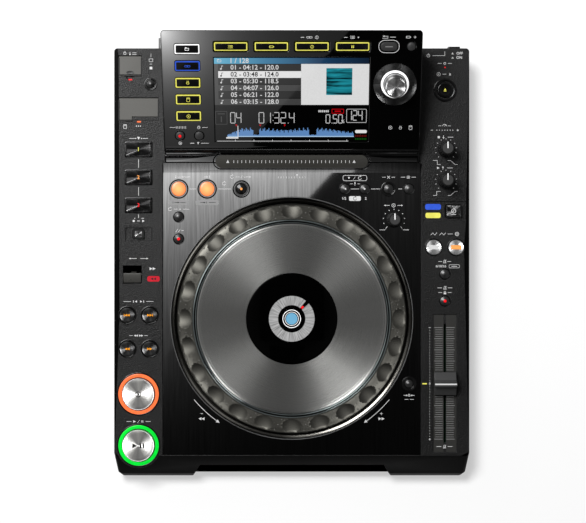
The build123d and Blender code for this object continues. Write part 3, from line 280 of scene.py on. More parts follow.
def copied(node, keep=lambda inside: True):
    """A merged working copy of a CAD node, or of the part of it that keep() accepts, in metres."""
    work = bmesh.new()
    work.from_mesh(frame["nodes"][node].data)
    work.faces.ensure_lookup_table()
    step = 0.05 * MM
    others = [
        surface for surface in work.faces
        if not keep((surface.calc_center_median() - surface.normal * step) / MM)
    ]
    bmesh.ops.delete(work, geom=others, context="FACES")
    bmesh.ops.remove_doubles(work, verts=work.verts, dist=0.002 * MM)
    bmesh.ops.dissolve_limit(
        work, angle_limit=radians(0.5), verts=work.verts, edges=work.edges, delimit={"NORMAL"}
    )
    return work


def moulding(
    name, node, slot, body="player", edge=0.35, keep=lambda inside: True, finish=None, segments=2,
    crisp=50.0, cuts=(),
):
    """A casing part: the CAD node's own form with its edges rounded."""
    work = copied(node, keep)
    softened(work, edge * MM, segments, sharper_than=38.0)
    for cut in cuts:
        bmesh.ops.bisect_plane(
            work, geom=work.verts[:] + work.edges[:] + work.faces[:], dist=0.00001,
            plane_co=(cut * MM, 0, 0), plane_no=(1, 0, 0),
        )
    low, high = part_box(node)
    for vertex in work.verts:
        vertex.co = Vector(min(max(vertex.co[axis], low[axis]), high[axis]) for axis in range(3))
    work.normal_update()
    for surface in work.faces:
        surface.smooth = True
    for line in work.edges:
        line.smooth = line.calc_face_angle(pi) < radians(crisp)
    made = made_object(name, work, finishes[finish or slot])
    weighted = made.modifiers.new("even faces", "WEIGHTED_NORMAL")
    weighted.keep_sharp = True
    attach(made, body)
    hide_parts(node)
    return made


# ---- Finishes ------------------------------------------------------------------------------------
def feed(tree, node, inputs):
    """Gives each named input of a node a value or another node's socket."""
    for socket, value in inputs.items():
        if isinstance(value, bpy.types.NodeSocket):
            tree.links.new(value, node.inputs[socket])
        else:
            node.inputs[socket].default_value = value
    return node


def add_node(tree, kind, inputs=None, **settings):
    """Adds a shader node with its settings and inputs."""
    node = tree.nodes.new(f"ShaderNode{kind}")
    for label, value in settings.items():
        setattr(node, label, value)
    return feed(tree, node, inputs or {})


def sums(tree, operation, *terms):
    """The result of a Math node."""
    return add_node(tree, "Math", dict(enumerate(terms)), operation=operation).outputs[0]


def new_group(name, number, value):
    """An empty shader group that is given a place and one named number."""
    tree = bpy.data.node_groups.new(name, "ShaderNodeTree")
    tree.interface.new_socket("Place", in_out="INPUT", socket_type="NodeSocketVector")
    socket = tree.interface.new_socket(number, in_out="INPUT", socket_type="NodeSocketFloat")
    socket.default_value = value
    given = tree.nodes.new("NodeGroupInput").outputs
    return tree, given["Place"], given[number]


def closed_group(tree, **results):
    """Gives a shader group its named outputs."""
    for label in results:
        tree.interface.new_socket(label, in_out="OUTPUT", socket_type="NodeSocketFloat")
    feed(tree, tree.nodes.new("NodeGroupOutput"), results)
    return tree


def grain_group():
    """Moulded leather-like grain: pebbles with fine tooth over them."""
    tree, place, pitch = new_group("moulded grain", "Pitch", 900.0)
    pebbles = add_node(tree, "TexVoronoi", {"Vector": place, "Scale": pitch}, feature="SMOOTH_F1")
    finer = sums(tree, "MULTIPLY", pitch, 1.7)
    tooth = add_node(tree, "TexNoise", {"Vector": place, "Scale": finer, "Detail": 3.0}).outputs["Fac"]
    total = sums(tree, "ADD", pebbles.outputs["Distance"], tooth)
    return closed_group(tree, Height=total, Fleck=tooth)


def streak_group():
    """Long fine scratches: noise drawn out along one direction of the given place."""
    tree, place, fineness = new_group("drawn streaks", "Fineness", 1.0)
    coarse = add_node(tree, "TexNoise", {"Vector": place, "Scale": fineness, "Detail": 2.0})
    finer = sums(tree, "MULTIPLY", fineness, 4.0)
    looks = {"Vector": place, "Scale": finer, "Detail": 5.0, "Roughness": 0.7}
    fine = add_node(tree, "TexNoise", looks).outputs["Fac"]
    blend = sums(tree, "MULTIPLY_ADD", coarse.outputs["Fac"], 0.45, fine)
    return closed_group(tree, Height=fine, Streak=blend)


def handling_group():
    """Soft clouds where hands and cloths have been, for a little change in gloss."""
    tree, place, pitch = new_group("handling", "Pitch", 25.0)
    looks = {"Vector": place, "Scale": pitch, "Detail": 4.0, "Distortion": 0.4}
    return closed_group(tree, Cloud=add_node(tree, "TexNoise", looks).outputs["Fac"])


grain = grain_group()
streaks = streak_group()
handling = handling_group()
ray_turn = 0.25  # the long gloss of a turned face runs across its rings


class Finish:
    """One material under construction: its shader, and short ways to add what it needs."""

    def __init__(self, name, roughness=0.4, metallic=0.0, gloss=0.5):
        self.material = bpy.data.materials.new(name)
        self.material.use_nodes = True
        self.tree = self.material.node_tree
        self.shader = self.tree.nodes["Principled BSDF"]
        self.set(("Roughness", roughness), ("Metallic", metallic), ("Specular IOR Level", gloss))

    def set(self, *inputs):
        """Gives the shader's own inputs a value or a socket."""
        feed(self.tree, self.shader, dict(inputs))

    def where(self, scale=(1, 1, 1), uv=None, turn=0.0):
        """Object coordinates, or the piece's own UV map, through a Mapping node."""
        if uv:
            found = add_node(self.tree, "UVMap", uv_map=uv).outputs["UV"]
        else:
            found = add_node(self.tree, "TexCoord").outputs["Object"]
        looks = {"Vector": found, "Scale": scale, "Rotation": (0, 0, turn)}
        return add_node(self.tree, "Mapping", looks).outputs["Vector"]

    def use(self, group, place, **values):
        """Places a shared group and gives its outputs."""
        return add_node(self.tree, "Group", {"Place": place, **values}, node_tree=group).outputs

    def shade(self, mask, socket, low, high, start=0.3, end=0.7):
        """Lets a mask run a colour or number between two values."""
        if isinstance(low, tuple):
            ramp = add_node(self.tree, "ValToRGB", {"Fac": mask})
            first, last = ramp.color_ramp.elements
            first.position, last.position = start, end
            first.color, last.color = (*low, 1), (*high, 1)
            self.set((socket, ramp.outputs["Color"]))
            return
        limits = {"From Min": start, "From Max": end, "To Min": low, "To Max": high}
        span = add_node(self.tree, "MapRange", {"Value": mask, **limits})
        self.set((socket, span.outputs["Result"]))

    def bump(self, source, strength, distance):
        """Lets a height roughen the surface."""
        looks = {"Height": source, "Strength": strength, "Distance": distance}
        self.set(("Normal", add_node(self.tree, "Bump", looks).outputs["Normal"]))

    def spun(self, amount):
        """Anisotropic gloss round the piece's own axis."""
        tangent = add_node(self.tree, "Tangent", direction_type="UV_MAP", uv_map="turned")
        self.set(
            ("Anisotropic", amount), ("Anisotropic Rotation", ray_turn), ("Tangent", tangent.outputs[0]),
        )


def grey(value):
    return (value, value, value)


def tinted(colour, share):
    """A colour made darker or lighter."""
    return tuple(channel * share for channel in colour)


def moulded_finish(name, dark, light, roughness, pitch, depth, gloss=0.5):
    """Moulded plastic: grain in the relief, flecks in the colour, clouds in the gloss."""
    made = Finish(name, roughness, gloss=gloss)
    place = made.where()
    tooth = made.use(grain, place, Pitch=pitch)
    made.shade(tooth["Fleck"], "Base Color", dark, light)
    made.bump(tooth["Height"], 0.5, depth)
    cloud = made.use(handling, place)
    made.shade(cloud["Cloud"], "Roughness", roughness * 0.9, roughness * 1.12)
    return made.material


def gloss_finish(name, colour, roughness=0.04, smear=0.03, gloss=0.5):
    """Polished plastic: clear gloss with faint smears and a trace of dust."""
    made = Finish(name, roughness, gloss=gloss)
    place = made.where()
    cloud = made.use(handling, place, Pitch=18.0)
    made.shade(cloud["Cloud"], "Roughness", roughness, roughness + smear)
    dust = made.use(grain, place, Pitch=500.0)
    lighter = tuple(channel * 1.25 + 0.0006 for channel in colour)
    made.shade(dust["Fleck"], "Base Color", colour, lighter, 0.45, 0.8)
    return made.material


def brushed_finish(name, dark, light, roughness, stretch, depth):
    """Metal foil with straight brushing."""
    made = Finish(name, roughness, 1.0)
    lines = made.use(streaks, made.where(stretch), Fineness=1.0)
    made.shade(lines["Streak"], "Base Color", dark, light, 0.5, 0.95)
    cloud = made.use(handling, made.where(), Pitch=12.0)
    made.shade(cloud["Cloud"], "Roughness", roughness * 0.85, roughness * 1.2)
    made.bump(lines["Height"], 0.15, depth)
    return made.material


def spun_finish(name, dark, light, roughness, amount, painted_ray_count, rings=80.0):
    """Metal turned on a lathe: fine rings and the long gloss that they give, with rays of painted
    reflection, lighter and darker round the axis, in its colour.
    """
    made = Finish(name, roughness, 1.0)
    # Painted reflection: rays of lighter and darker colour round the axis stand in for the streaks that the
    # turned surface reflects.
    rays = made.use(handling, made.where((painted_ray_count, 0.02, 1.0), uv="turned"), Pitch=1.0)
    made.shade(rays["Cloud"], "Base Color", dark, light, 0.38, 0.62)
    lines = made.use(streaks, made.where((2.0, rings, 1.0), uv="turned"), Fineness=1.0)
    made.shade(lines["Height"], "Roughness", roughness * 0.8, roughness * 1.2)
    made.spun(amount)
    return made.material


def metal_finish(name, dark, light, roughness, pitch=60.0):
    """Plain machined or plated metal with faint clouds."""
    made = Finish(name, roughness, 1.0)
    place = made.where()
    cloud = made.use(handling, place, Pitch=pitch)["Cloud"]
    made.shade(cloud, "Base Color", dark, light)
    made.shade(cloud, "Roughness", roughness * 0.85, roughness * 1.25)
    made.bump(made.use(grain, place, Pitch=2500.0)["Height"], 0.1, 0.00001)
    return made.material


def grip_finish(name, amount):
    """The wheel's grip: satin metallic plastic with a long gloss round the wheel."""
    made = Finish(name, 0.34, 0.93)
    place = made.where()
    tooth = made.use(grain, place, Pitch=1500.0)
    made.shade(tooth["Fleck"], "Base Color", (0.060, 0.058, 0.051), (0.078, 0.076, 0.067))
    made.bump(tooth["Height"], 0.15, 0.00002)
    made.shade(made.use(handling, place)["Cloud"], "Roughness", 0.31, 0.37)
    made.spun(amount)
    return made.material


def glowing_cap_finish(name, middle, rim, strength):
    """A lit keycap that is paler over its lamp than at its rim; the map's v is the radius."""
    made = Finish(name, 0.25)
    split = add_node(made.tree, "SeparateXYZ", {0: made.where(uv="turned")})
    made.shade(split.outputs["Y"], "Emission Color", middle, rim, 0.1, 0.62)
    made.set(("Emission Strength", strength))
    cloud = made.use(handling, made.where(), Pitch=220.0)
    made.shade(cloud["Cloud"], "Base Color", tinted(rim, 0.3), tinted(rim, 0.36))
    return made.material


def lit_finish(name, colour, strength, body=None, roughness=0.25):
    """A lit window or lamp: translucent plastic with its light slightly uneven."""
    made = Finish(name, roughness)
    cloud = made.use(handling, made.where(), Pitch=220.0)["Cloud"]
    made.shade(cloud, "Emission Color", tinted(colour, 0.82), colour, 0.35, 0.65)
    made.set(("Emission Strength", strength))
    base = body or tinted(colour, 0.3)
    made.shade(cloud, "Base Color", base, tinted(base, 1.1))
    return made.material


def print_finish(name, colour, glow=0.0):
    """Screen-printed ink: matt and very slightly uneven; given a glow, it also gets a painted glow of
    emission, so that it reads brightly in soft light.
    """
    made = Finish(name, 0.55, gloss=0.3)
    fleck = made.use(grain, made.where(), Pitch=1800.0)["Fleck"]
    made.shade(fleck, "Base Color", tinted(colour, 0.85), colour)
    # Painted glow: the ink gives off light of its own, though it is no lamp.
    if glow:
        made.shade(fleck, "Emission Color", tinted(colour, 0.85), colour)
        made.set(("Emission Strength", glow))
    return made.material


def picture_finish(name, colour, strength=0.9):
    """A lit part of a screen: fine pixels behind clear glass."""
    made = Finish(name, 0.03)
    pixels = made.use(handling, made.where(), Pitch=900.0)["Cloud"]
    made.shade(pixels, "Emission Color", tinted(colour, 0.92), colour)
    made.shade(pixels, "Base Color", grey(0.001), grey(0.002))
    made.set(("Emission Strength", strength))
    return made


def faded_picture(name, colours, start, end):
    """A lit part of a screen whose colour changes along X, between two places in metres."""
    made = picture_finish(name, grey(0.5))
    axis = add_node(made.tree, "SeparateXYZ", {0: made.where()})
    reach = {"Value": axis.outputs["X"], "From Min": start, "From Max": end}
    share = add_node(made.tree, "MapRange", reach).outputs["Result"]
    ramp = add_node(made.tree, "ValToRGB", {"Fac": share})
    stops = ramp.color_ramp.elements
    stops.remove(stops[0])
    for step, colour in enumerate(colours):
        at = step / (len(colours) - 1)
        stop = stops.new(at) if step else stops[0]
        stop.position = at
        stop.color = (*colour, 1)
    made.set(("Emission Color", ramp.outputs["Color"]))
    return made.material


def cover_finish():
    """A made-up cover picture: soft teal streaks on a slant that fade to black."""
    made = picture_finish("cover picture", (0.0, 0.4, 0.45))
    streak = made.use(handling, made.where((26.0, 210.0, 1.0), turn=radians(14)), Pitch=1.0)
    made.shade(streak["Cloud"], "Emission Color", (0.0, 0.010, 0.014), (0.02, 0.42, 0.52), 0.42, 0.66)
    return made.material


def ring_picture_finish():
    """The wheel display's ring: fine pale rays on black."""
    made = picture_finish("ring picture", grey(0.4), 0.8)
    rays = made.use(handling, made.where((170.0, 0.5, 1.0), uv="turned"), Pitch=1.0)
    made.shade(rays["Cloud"], "Emission Color", grey(0.16), grey(0.62), 0.3, 0.6)
    return made.material


moulded_looks = {  # name, darkest, lightest, roughness, grain pitch, grain depth, gloss
    "column_plastic": ("column plastic", grey(0.001), grey(0.011), 0.40, 1150.0, 0.00042, 0.38),
    "apron_black": ("apron plastic", grey(0.001), grey(0.003), 0.34, 1600.0, 0.00002, 0.04),
    "steel_tray": ("painted steel", grey(0.018), grey(0.026), 0.5, 1400.0, 0.00005),
    "soft_grey": ("soft grey plastic", (0.044, 0.043, 0.038), (0.060, 0.058, 0.052), 0.32, 1500.0, 0.00004),
    "knob_black": ("knob plastic", grey(0.030), grey(0.042), 0.42, 2200.0, 0.00003),
    # The knob's fluted sides and its top are darker and lighter copies of one plastic: painted shade and
    # painted light.
    "knob_side": ("knob side plastic", grey(0.006), grey(0.010), 0.5, 2200.0, 0.00002, 0.2),
    "knob_top": ("knob top plastic", grey(0.040), grey(0.052), 0.5, 2200.0, 0.00002, 0.3),
    "board_green": ("circuit board", (0.004, 0.05, 0.02), (0.006, 0.08, 0.03), 0.4, 900.0, 0.00004),
    "socket_black": ("socket plastic", grey(0.008), grey(0.014), 0.4, 1800.0, 0.00003),
    "foot_rubber": ("foot rubber", grey(0.012), grey(0.018), 0.75, 1200.0, 0.00008, 0.25),
    "bezel_black": ("bezel plastic", grey(0.0015), grey(0.003), 0.3, 2600.0, 0.00001, 0.12),
    "lever_grey": ("lever plastic", (0.055, 0.054, 0.05), (0.075, 0.074, 0.068), 0.3, 2400.0, 0.00002),
    "door_plastic": ("door plastic", (0.085, 0.083, 0.075), (0.105, 0.102, 0.093), 0.5, 2600.0, 0.00002),
    "fader_recess": ("fader recess", (0.016, 0.0155, 0.0138), (0.021, 0.0205, 0.018), 0.6, 2600.0, 0.00002),
}
gloss_looks = {  # name, colour, roughness, smear, gloss
    "gloss_black": ("gloss black", grey(0.0012), 0.014, 0.008),
    "screen_glass": ("screen glass", grey(0.0008), 0.012, 0.006),
    "head_glass": ("head glass", grey(0.0004), 0.02, 0.01, 0.06),
    "button_black": ("small cap plastic", grey(0.005), 0.14, 0.05),
    "dome_black": ("domed cap plastic", grey(0.006), 0.33, 0.05, 1.0),
    "satin_black": ("satin cap plastic", grey(0.035), 0.38, 0.05, 0.6),
}
metal_looks = {  # name, darkest, lightest, roughness, cloud pitch
    "jog_dark": ("smoked bowl", (0.026, 0.025, 0.023), (0.034, 0.033, 0.030), 0.135, 30.0),
    "dark_rim": ("bowl edge metal", grey(0.10), grey(0.14), 0.35),
    "wheel_edge": ("wheel edge metal", (0.30, 0.34, 0.34), (0.36, 0.41, 0.41), 0.13),
    "drive_metal": ("zinc plate", grey(0.42), grey(0.52), 0.35, 30.0),
    "jack_metal": ("nickel plate", grey(0.50), grey(0.60), 0.22, 200.0),
    "screw_black": ("black oxide", grey(0.02), grey(0.035), 0.4, 300.0),
}
spun_looks = {  # name, darkest and lightest of the painted reflection rays, roughness, strength of the long gloss, how many painted rays go round, rings
    "spun_metal": ("spun plate", (0.50, 0.50, 0.485), (0.62, 0.62, 0.60), 0.29, 0.8, 6.0, 90.0),
    "chrome_cap": ("spun cap", (0.55, 0.545, 0.53), (0.92, 0.91, 0.87), 0.36, 0.85, 7.0),
    "dark_spun": ("dark spun cap", grey(0.035), grey(0.14), 0.31, 0.9, 5.0),
    "pad_spun": ("spun pad", grey(0.02), grey(0.20), 0.24, 0.93, 5.0),
    "key_spun": ("spun key", grey(0.12), grey(0.60), 0.3, 0.9, 4.0),
    "pick_spun": ("spun selector", grey(0.22), grey(0.80), 0.3, 0.9, 5.0),
    "edge_spun": ("spun edge", grey(0.70), grey(0.90), 0.5, 0.3, 3.0),
    "button_silver": ("silver cap", grey(0.60), grey(0.90), 0.38, 0.8, 4.0),
}
lit_looks = {  # name, colour, strength, plastic
    "lit_white": ("white light", grey(0.95), 0.95, grey(0.6)),
    "lit_green": ("green light", (0.0, 0.78, 0.04), 0.95),
    "lit_orange": ("orange light", (1.0, 0.19, 0.055), 0.95),
    "lit_amber": ("amber light", (1.0, 0.40, 0.11), 0.9),
    "lit_gold": ("gold light", (0.95, 0.34, 0.01), 0.9),
    "lit_red": ("red light", (0.95, 0.01, 0.015), 0.95),
    "lit_yellow": ("yellow light", (0.80, 0.76, 0.13), 0.95),
    "lit_blue": ("blue light", (0.035, 0.10, 0.62), 0.95),
    "window_red": ("window red light", (0.55, 0.015, 0.03), 0.9),
    "ember": ("ember light", (0.20, 0.045, 0.02), 0.9),
}
print_looks = {  # name, colour, strength of the painted glow
    "white_print": ("white ink", grey(0.62), 0.35),
    "grey_print": ("grey ink", grey(0.30), 0.12),
    "black_print": ("black ink", grey(0.006)),
}
screen_colours = {
    "row_dark": grey(0.018), "row_dim": grey(0.055), "screen_white": grey(0.86), "screen_digit": grey(0.58),
    "screen_paper": grey(0.80), "screen_text": grey(0.72), "screen_black": grey(0.002),
    "screen_red": (0.55, 0.0, 0.005), "screen_blue": (0.12, 0.27, 0.56),
    "screen_pale_blue": (0.45, 0.66, 0.9), "screen_dim_red": (0.12, 0.004, 0.004),
    "screen_dim_green": (0.004, 0.07, 0.004), "disc_picture": (0.20, 0.52, 0.78),
}
title_blues = [(0.09, 0.42, 0.62), (0.04, 0.20, 0.36), (0.01, 0.05, 0.12), (0.004, 0.012, 0.03)]
title_reach = 0.068

for make, looks in (
    (moulded_finish, moulded_looks), (gloss_finish, gloss_looks), (metal_finish, metal_looks),
    (spun_finish, spun_looks), (lit_finish, lit_looks), (print_finish, print_looks),
):
    for label, values in looks.items():
        finishes[label] = make(*values)
for label, colour in screen_colours.items():
    finishes[label] = picture_finish(label.replace("_", " "), colour).material
finishes["brushed_panel"] = brushed_finish(
    "brushed panel", grey(0.026), grey(0.062), 0.03, (620.0, 7.0, 50.0), 0.000003
)
finishes["jog_rubber"] = grip_finish("wheel grip plastic", 0.7)
finishes["dimple_satin"] = grip_finish("dimple plastic", 0.2)
finishes["loop_glow"] = glowing_cap_finish("loop cap light", (1.0, 0.58, 0.20), (0.93, 0.27, 0.09), 0.95)
finishes["title_picture"] = faded_picture("title picture", title_blues, -title_reach, title_reach)
finishes["cover_picture"] = cover_finish()
finishes["ring_picture"] = ring_picture_finish()


# ---- Casing --------------------------------------------------------------------------------------
boss_radius = 20.5
case_half, edge_reach = 159.8, 3.2
jacks_x, jacks_half, jacks_start_y = -80.0, 44.0, 170.0
play = spot("play_button", deck)


def in_apron(inside):
    """The front apron lies ahead of the deck and outside the boss round the play button."""
    return inside.y < deck_front_y and hypot(inside.x - play.x, inside.y - play.y) > boss_radius


def in_jack(inside):
    """The round jacks on the rear panel."""
    return abs(inside.x - jacks_x) < jacks_half and inside.y > jacks_start_y


def on_edge(inside):
    """The rounded edge and the wall of each side of the case."""
    return abs(inside.x) > case_half - edge_reach and not in_apron(inside)


moulding(
    "columns", "top_cover", "column_plastic",
    keep=lambda inside: not in_apron(inside) and not on_edge(inside),
)
# The side edges and walls of the same cover take the darker, almost glossless apron plastic: painted shade,
# so that the rounded edge stays dark.
moulding("case_edges", "top_cover", "apron_black", keep=on_edge)
moulding("front_apron", "top_cover", "apron_black", keep=in_apron, edge=0.6)
moulding(
    "brushed_plate", "deck_panel", "brushed_panel", edge=0.25, segments=4, crisp=20.0, cuts=(-115.0, 115.0),
)
moulding("tray", "lower_case", "steel_tray", edge=0.5)
moulding(
    "display_shell", "display_housing", "gloss_black", edge=0.7, segments=4, crisp=20.0,
    cuts=(-112.0, 112.0),
)
moulding("usb_lid_cover", "usb_lid", "column_plastic", "usb_lid", 0.12, finish="door_plastic")
moulding("card_door_cover", "card_door", "column_plastic", "card_door", 0.12, finish="door_plastic")
moulding("lever_cap", "direction_lever", "button_black", "direction_lever", 0.5, finish="lever_grey")
moulding("rubber_feet", "feet", "foot_rubber", edge=0.8)
moulding("round_jacks", "sockets", "jack_metal", edge=0.3, keep=in_jack)
moulding(
    "socket_blocks", "sockets", "jack_metal", edge=0.25, finish="socket_black",
    keep=lambda inside: not in_jack(inside),
)

# ---- Screen window and touch strip ---------------------------------------------------------------
screen_width, screen_length, screen_start = 135.8, 75.4, 4.5
screen_middle = screen_start + screen_length / 2
window_plate = moved(plate(screen_width, screen_length, -2.5, 0.0, 0.6), y=screen_middle)
piece("screen_window", window_plate, display, "screen_glass", stands_for=["screen_and_touch_strip"])
strip = softened(plate(136.7, 12.1, -1.6, 0.0, 6.0, 10), 0.4)
piece(
    "touch_strip", moved(strip, y=10.1), lip, "jog_rubber", stands_for=["screen_and_touch_strip"],
    finish="soft_grey",
)

# ---- Jog wheel -----------------------------------------------------------------------------------
jog_radius, shoulder_z, crown_z, rim_z = 103.0, 64.5, 69.5, 71.2
plate_radius, plate_z = 84.8, 72.0
head_radius, head_z = 40.45, 71.4
bowl_profile = [
    (11.5, 43.2), (108.2, 43.2), (108.2, 55.5), (112.2, 55.5), (112.2, 57.5), (109.0, 57.5), (109.0, 60.0),
    (108.5, 58.75), (106.3, 58.3), (104.2, 57.85), (104.2, 45.5), (14.0, 45.5), (14.0, 66.0), (11.5, 66.0),
]
bowl = turned(bowl_profile, 160, closed=True)
piece("jog_bowl", softened(bowl, 0.3), wheel, "jog_dark", stands_for=["jog_base"])
piece(
    "bowl_edge", softened(band(108.6, 109.5, 59.6, 60.18, 160), 0.15), wheel, "chrome_cap",
    finish="dark_rim",
)
head_profile = [
    (0, 62.0), (11.4, 62.0), (11.4, 66.0), (head_radius, 66.0), (head_radius, head_z), (0, head_z),
]
head_body = turned(head_profile, 128)
piece(
    "head_window", softened(head_body, 0.35), wheel, "screen_glass", stands_for=["jog_base"],
    finish="head_glass",
)

dimple_count = 24
dimple_radius = 95.6
dimple_size = (9.0, 6.2)  # half along the rim, half across it
dimple_depth = 1.15
dimple_curve = 0.9  # below 1 gives a steeper edge and a flatter floor
crown_start = 88.7  # the crown's inner edge
crown_middle, crown_half = 94.6, 5.8
crown_drop = 0.7  # the crown falls this far towards both its edges


def dimple_reach(point):
    """How far a point lies from the middle of the nearest dimple: 1 is the dimple's edge."""
    pitch = 2 * pi / dimple_count
    radius = hypot(point.x, point.y)
    off = (atan2(point.y, point.x) + pitch / 2) % pitch - pitch / 2
    return (off * dimple_radius / dimple_size[0]) ** 2 + ((radius - dimple_radius) / dimple_size[1]) ** 2


def dimpled(work):
    """Presses the finger dimples into the crown of the ring."""
    for vertex in work.verts:
        radius = hypot(vertex.co.x, vertex.co.y)
        if vertex.co.z < crown_z - 0.01 or radius < crown_start:
            continue
        reach = dimple_reach(vertex.co)
        vertex.co.z -= crown_drop * ((radius - crown_middle) / crown_half) ** 2
        if reach < 1:
            vertex.co.z -= dimple_depth * (1 - reach) ** dimple_curve
    return work


def parted(work, wanted):
    """Keeps the faces whose middle is wanted."""
    unwanted = [surface for surface in work.faces if not wanted(surface.calc_center_median())]
    bmesh.ops.delete(work, geom=unwanted, context="FACES")
    return work


def in_dimple(inside):
    """On the crown and inside a dimple's edge."""
    return inside.z > shoulder_z + 1.5 and hypot(
        inside.x, inside.y,
    ) > crown_start and dimple_reach(inside) < 1


def crown_points(inner, outer, count):
    """Evenly spaced points across the flat crown, so that the dimples have a mesh to bend."""
    return [(outer + (inner - outer) * step / count, crown_z) for step in range(count + 1)]


ring_inner = plate_radius + 0.6
ring_profile = (
    [(14.05, 47.0), (22.0, 47.0), (22.0, 50.0), (jog_radius, 50.0), (jog_radius, shoulder_z),
     (jog_radius - 0.5, crown_z - 2.0), (jog_radius - 1.3, crown_z - 0.7)]
    + crown_points(88.8, jog_radius - 2.6, 16)
    + [(88.3, rim_z - 1.3), (85.6, rim_z - 1.3), (85.6, 53.0), (22.0, 53.0), (22.0, 60.0), (14.05, 60.0)]
)
whole_ring = dimpled(turned(ring_profile, 576, closed=True))
piece(
    "grip_dimples", parted(whole_ring.copy(), in_dimple), wheel, "jog_rubber", "jog_ring",
    finish="dimple_satin", turned_map=True,
)
between = parted(whole_ring, lambda inside: not in_dimple(inside))
piece("grip_ring", between, wheel, "jog_rubber", "jog_ring", ["jog_ring"], turned_map=True)
rim_profile = [
    (ring_inner, 68.6), (88.5, 68.6), (88.5, rim_z - 0.6), (87.6, rim_z), (86.1, rim_z),
    (ring_inner, rim_z - 0.5),
]
rim = turned(rim_profile, 192, closed=True)
piece("wheel_rim", softened(rim, 0.12), wheel, "chrome_cap", "jog_ring", finish="wheel_edge")

bump_rows = [(100.4, -1.3), (95.5, 0.0), (90.6, 1.8)]  # radius, degrees from midway between two dimples


def grip_bumps():
    """Three small bumps between each pair of dimples."""
    bumps = []
    for gap in range(dimple_count):
        for radius, offset in bump_rows:
            bump = bmesh.new()
            bmesh.ops.create_uvsphere(bump, u_segments=8, v_segments=5, radius=0.75)
            angle = (gap + 0.5) * 2 * pi / dimple_count + radians(offset)
            bumps.append(moved(bump, radius * cos(angle), radius * sin(angle), crown_z - 0.35))
    return joined(bumps)


piece("grip_bumps", grip_bumps(), wheel, "jog_rubber", "jog_ring", finish="soft_grey")

plate_profile = [
    (40.9, 70.0), (60.0, 70.0), (60.0, 53.8), (62.0, 53.8), (62.0, 70.0), (plate_radius, 70.0),
    (plate_radius, plate_z - 1.5), (84.6, plate_z - 1.1), (84.15, plate_z - 0.88), (83.6, plate_z - 0.74),
    (83.0, plate_z - 0.66), (82.6, plate_z - 0.64), (82.4, plate_z - 0.7), (82.1, plate_z - 0.7),
    (81.9, plate_z - 0.62), (81.5, plate_z - 0.6), (74.0, plate_z - 0.34), (66.0, plate_z - 0.14),
    (58.0, plate_z - 0.03), (50.0, plate_z), (42.3, plate_z), (41.0, plate_z), (40.9, plate_z - 0.1),
]
touch = turned(plate_profile, 192, closed=True)
piece("touch_plate", touch, wheel, "spun_metal", "jog_plate", ["jog_plate"], turned_map=True)

# ---- Keycaps -------------------------------------------------------------------------------------
skirt = 3.0  # the visible caps reach this far below their face
ink = (-0.05, 0.06)  # printed marks start just under their face and stand this proud of it


def wrapped_here(work):
    """Closes a turned shape and gives it its UV map while its axis is still at the origin."""
    bmesh.ops.remove_doubles(work, verts=work.verts, dist=weld)
    return wrapped(work)


def cap_piece(node, work, at, on, slot, finish):
    """Sets a keycap on its CAD key."""
    piece(f"{node}_cap", moved(wrapped_here(work), at.x, at.y), on, slot, node, [node], finish)
    return at


def round_cap(node, slot, on=deck, crown=0.35, dish=0.0, edge=0.5, finish=None, steps=64):
    """A turned keycap: soft edge, and a top that is crowned or dished."""
    at = spot(node, on)
    radius, top = at.width / 2, at.top
    profile = [(0, -skirt), (radius, -skirt), (radius, top - edge)]
    profile += [(radius - edge * 0.3, top - edge * 0.3), (radius - edge, top)]
    for share in (0.8, 0.6, 0.4, 0.2, 0.0):
        profile.append(((radius - edge) * share, top + (crown - dish) * (1 - share * share)))
    if crown:
        profile = [(r, z - crown if z > top - edge - 0.01 else z) for r, z in profile]
    return cap_piece(node, turned(profile, steps), at, on, slot, finish)


def top_faces(work):
    """The faces of a cap that lie in its highest level."""
    level = max(vertex.co.z for vertex in work.verts) - 0.01
    return [surface for surface in work.faces if all(vertex.co.z > level for vertex in surface.verts)]


def square_cap(node, slot, on=deck, corner=1.0, edge=0.5, finish=None, trim=0.0):
    """A rounded rectangular keycap with a soft top edge, trimmed by a gap all round."""
    at = spot(node, on)
    work = plate(at.width - trim, at.length - trim, -skirt, at.top, corner)
    bmesh.ops.recalc_face_normals(work, faces=work.faces)
    rim = dict.fromkeys(line for surface in work.faces if surface.normal.z > 0.9 for line in surface.edges)
    bmesh.ops.bevel(
        work, geom=list(rim), offset=edge, segments=3, affect="EDGES", profile=0.5, material=-1,
        clamp_overlap=True,
    )
    lines = dict.fromkeys(line for surface in top_faces(work) for line in surface.edges)
    sides = [line for line in lines if line.calc_length() > 2.0]
    bmesh.ops.subdivide_edges(work, edges=sides, cuts=12)
    bmesh.ops.poke(work, faces=top_faces(work))
    return cap_piece(node, work, at, on, slot, finish)


def bezel(
    name, at, inner, outer, rise, on=deck, slot="button_black", finish=None, bevel=0.3, body="player"
):
    """A raised ring round a key."""
    work = softened(band(inner, outer, -0.4, rise, 72), bevel)
    piece(name, moved(wrapped_here(work), at.x, at.y), on, slot, body, finish=finish)


def on_key(name, shapes, at, on, slot, node, lift=0.0, finish=None):
    """Marks on top of a key, which move with it."""
    work = moved(joined(shapes), at.x, at.y, at.top + lift)
    piece(name, work, on, slot, node, finish=finish)


def stroke(width, length, x=0.0, y=0.0, turn=0.0, low=ink[0], high=ink[1]):
    """A small straight bar."""
    return moved(plate(width, length, low, high), x, y, 0, turn)


def dashes(width, length, reach):
    """Two equal bars, one to each side."""
    return joined([stroke(width, length, -reach), stroke(width, length, reach)])


def dot(radius, x=0.0, y=0.0, steps=20):
    """A small round mark."""
    work = bmesh.new()
    bmesh.ops.create_circle(work, cap_ends=True, segments=steps, radius=radius)
    return moved(raised(work, *ink), x, y)


def triangle(size, turn=0.0, x=0.0, y=0.0):
    """A solid triangle that points along its turn."""
    half = size / 2
    return moved(wedge([(-half, -half), (half, 0), (-half, half)], *ink), x, y, 0, turn)


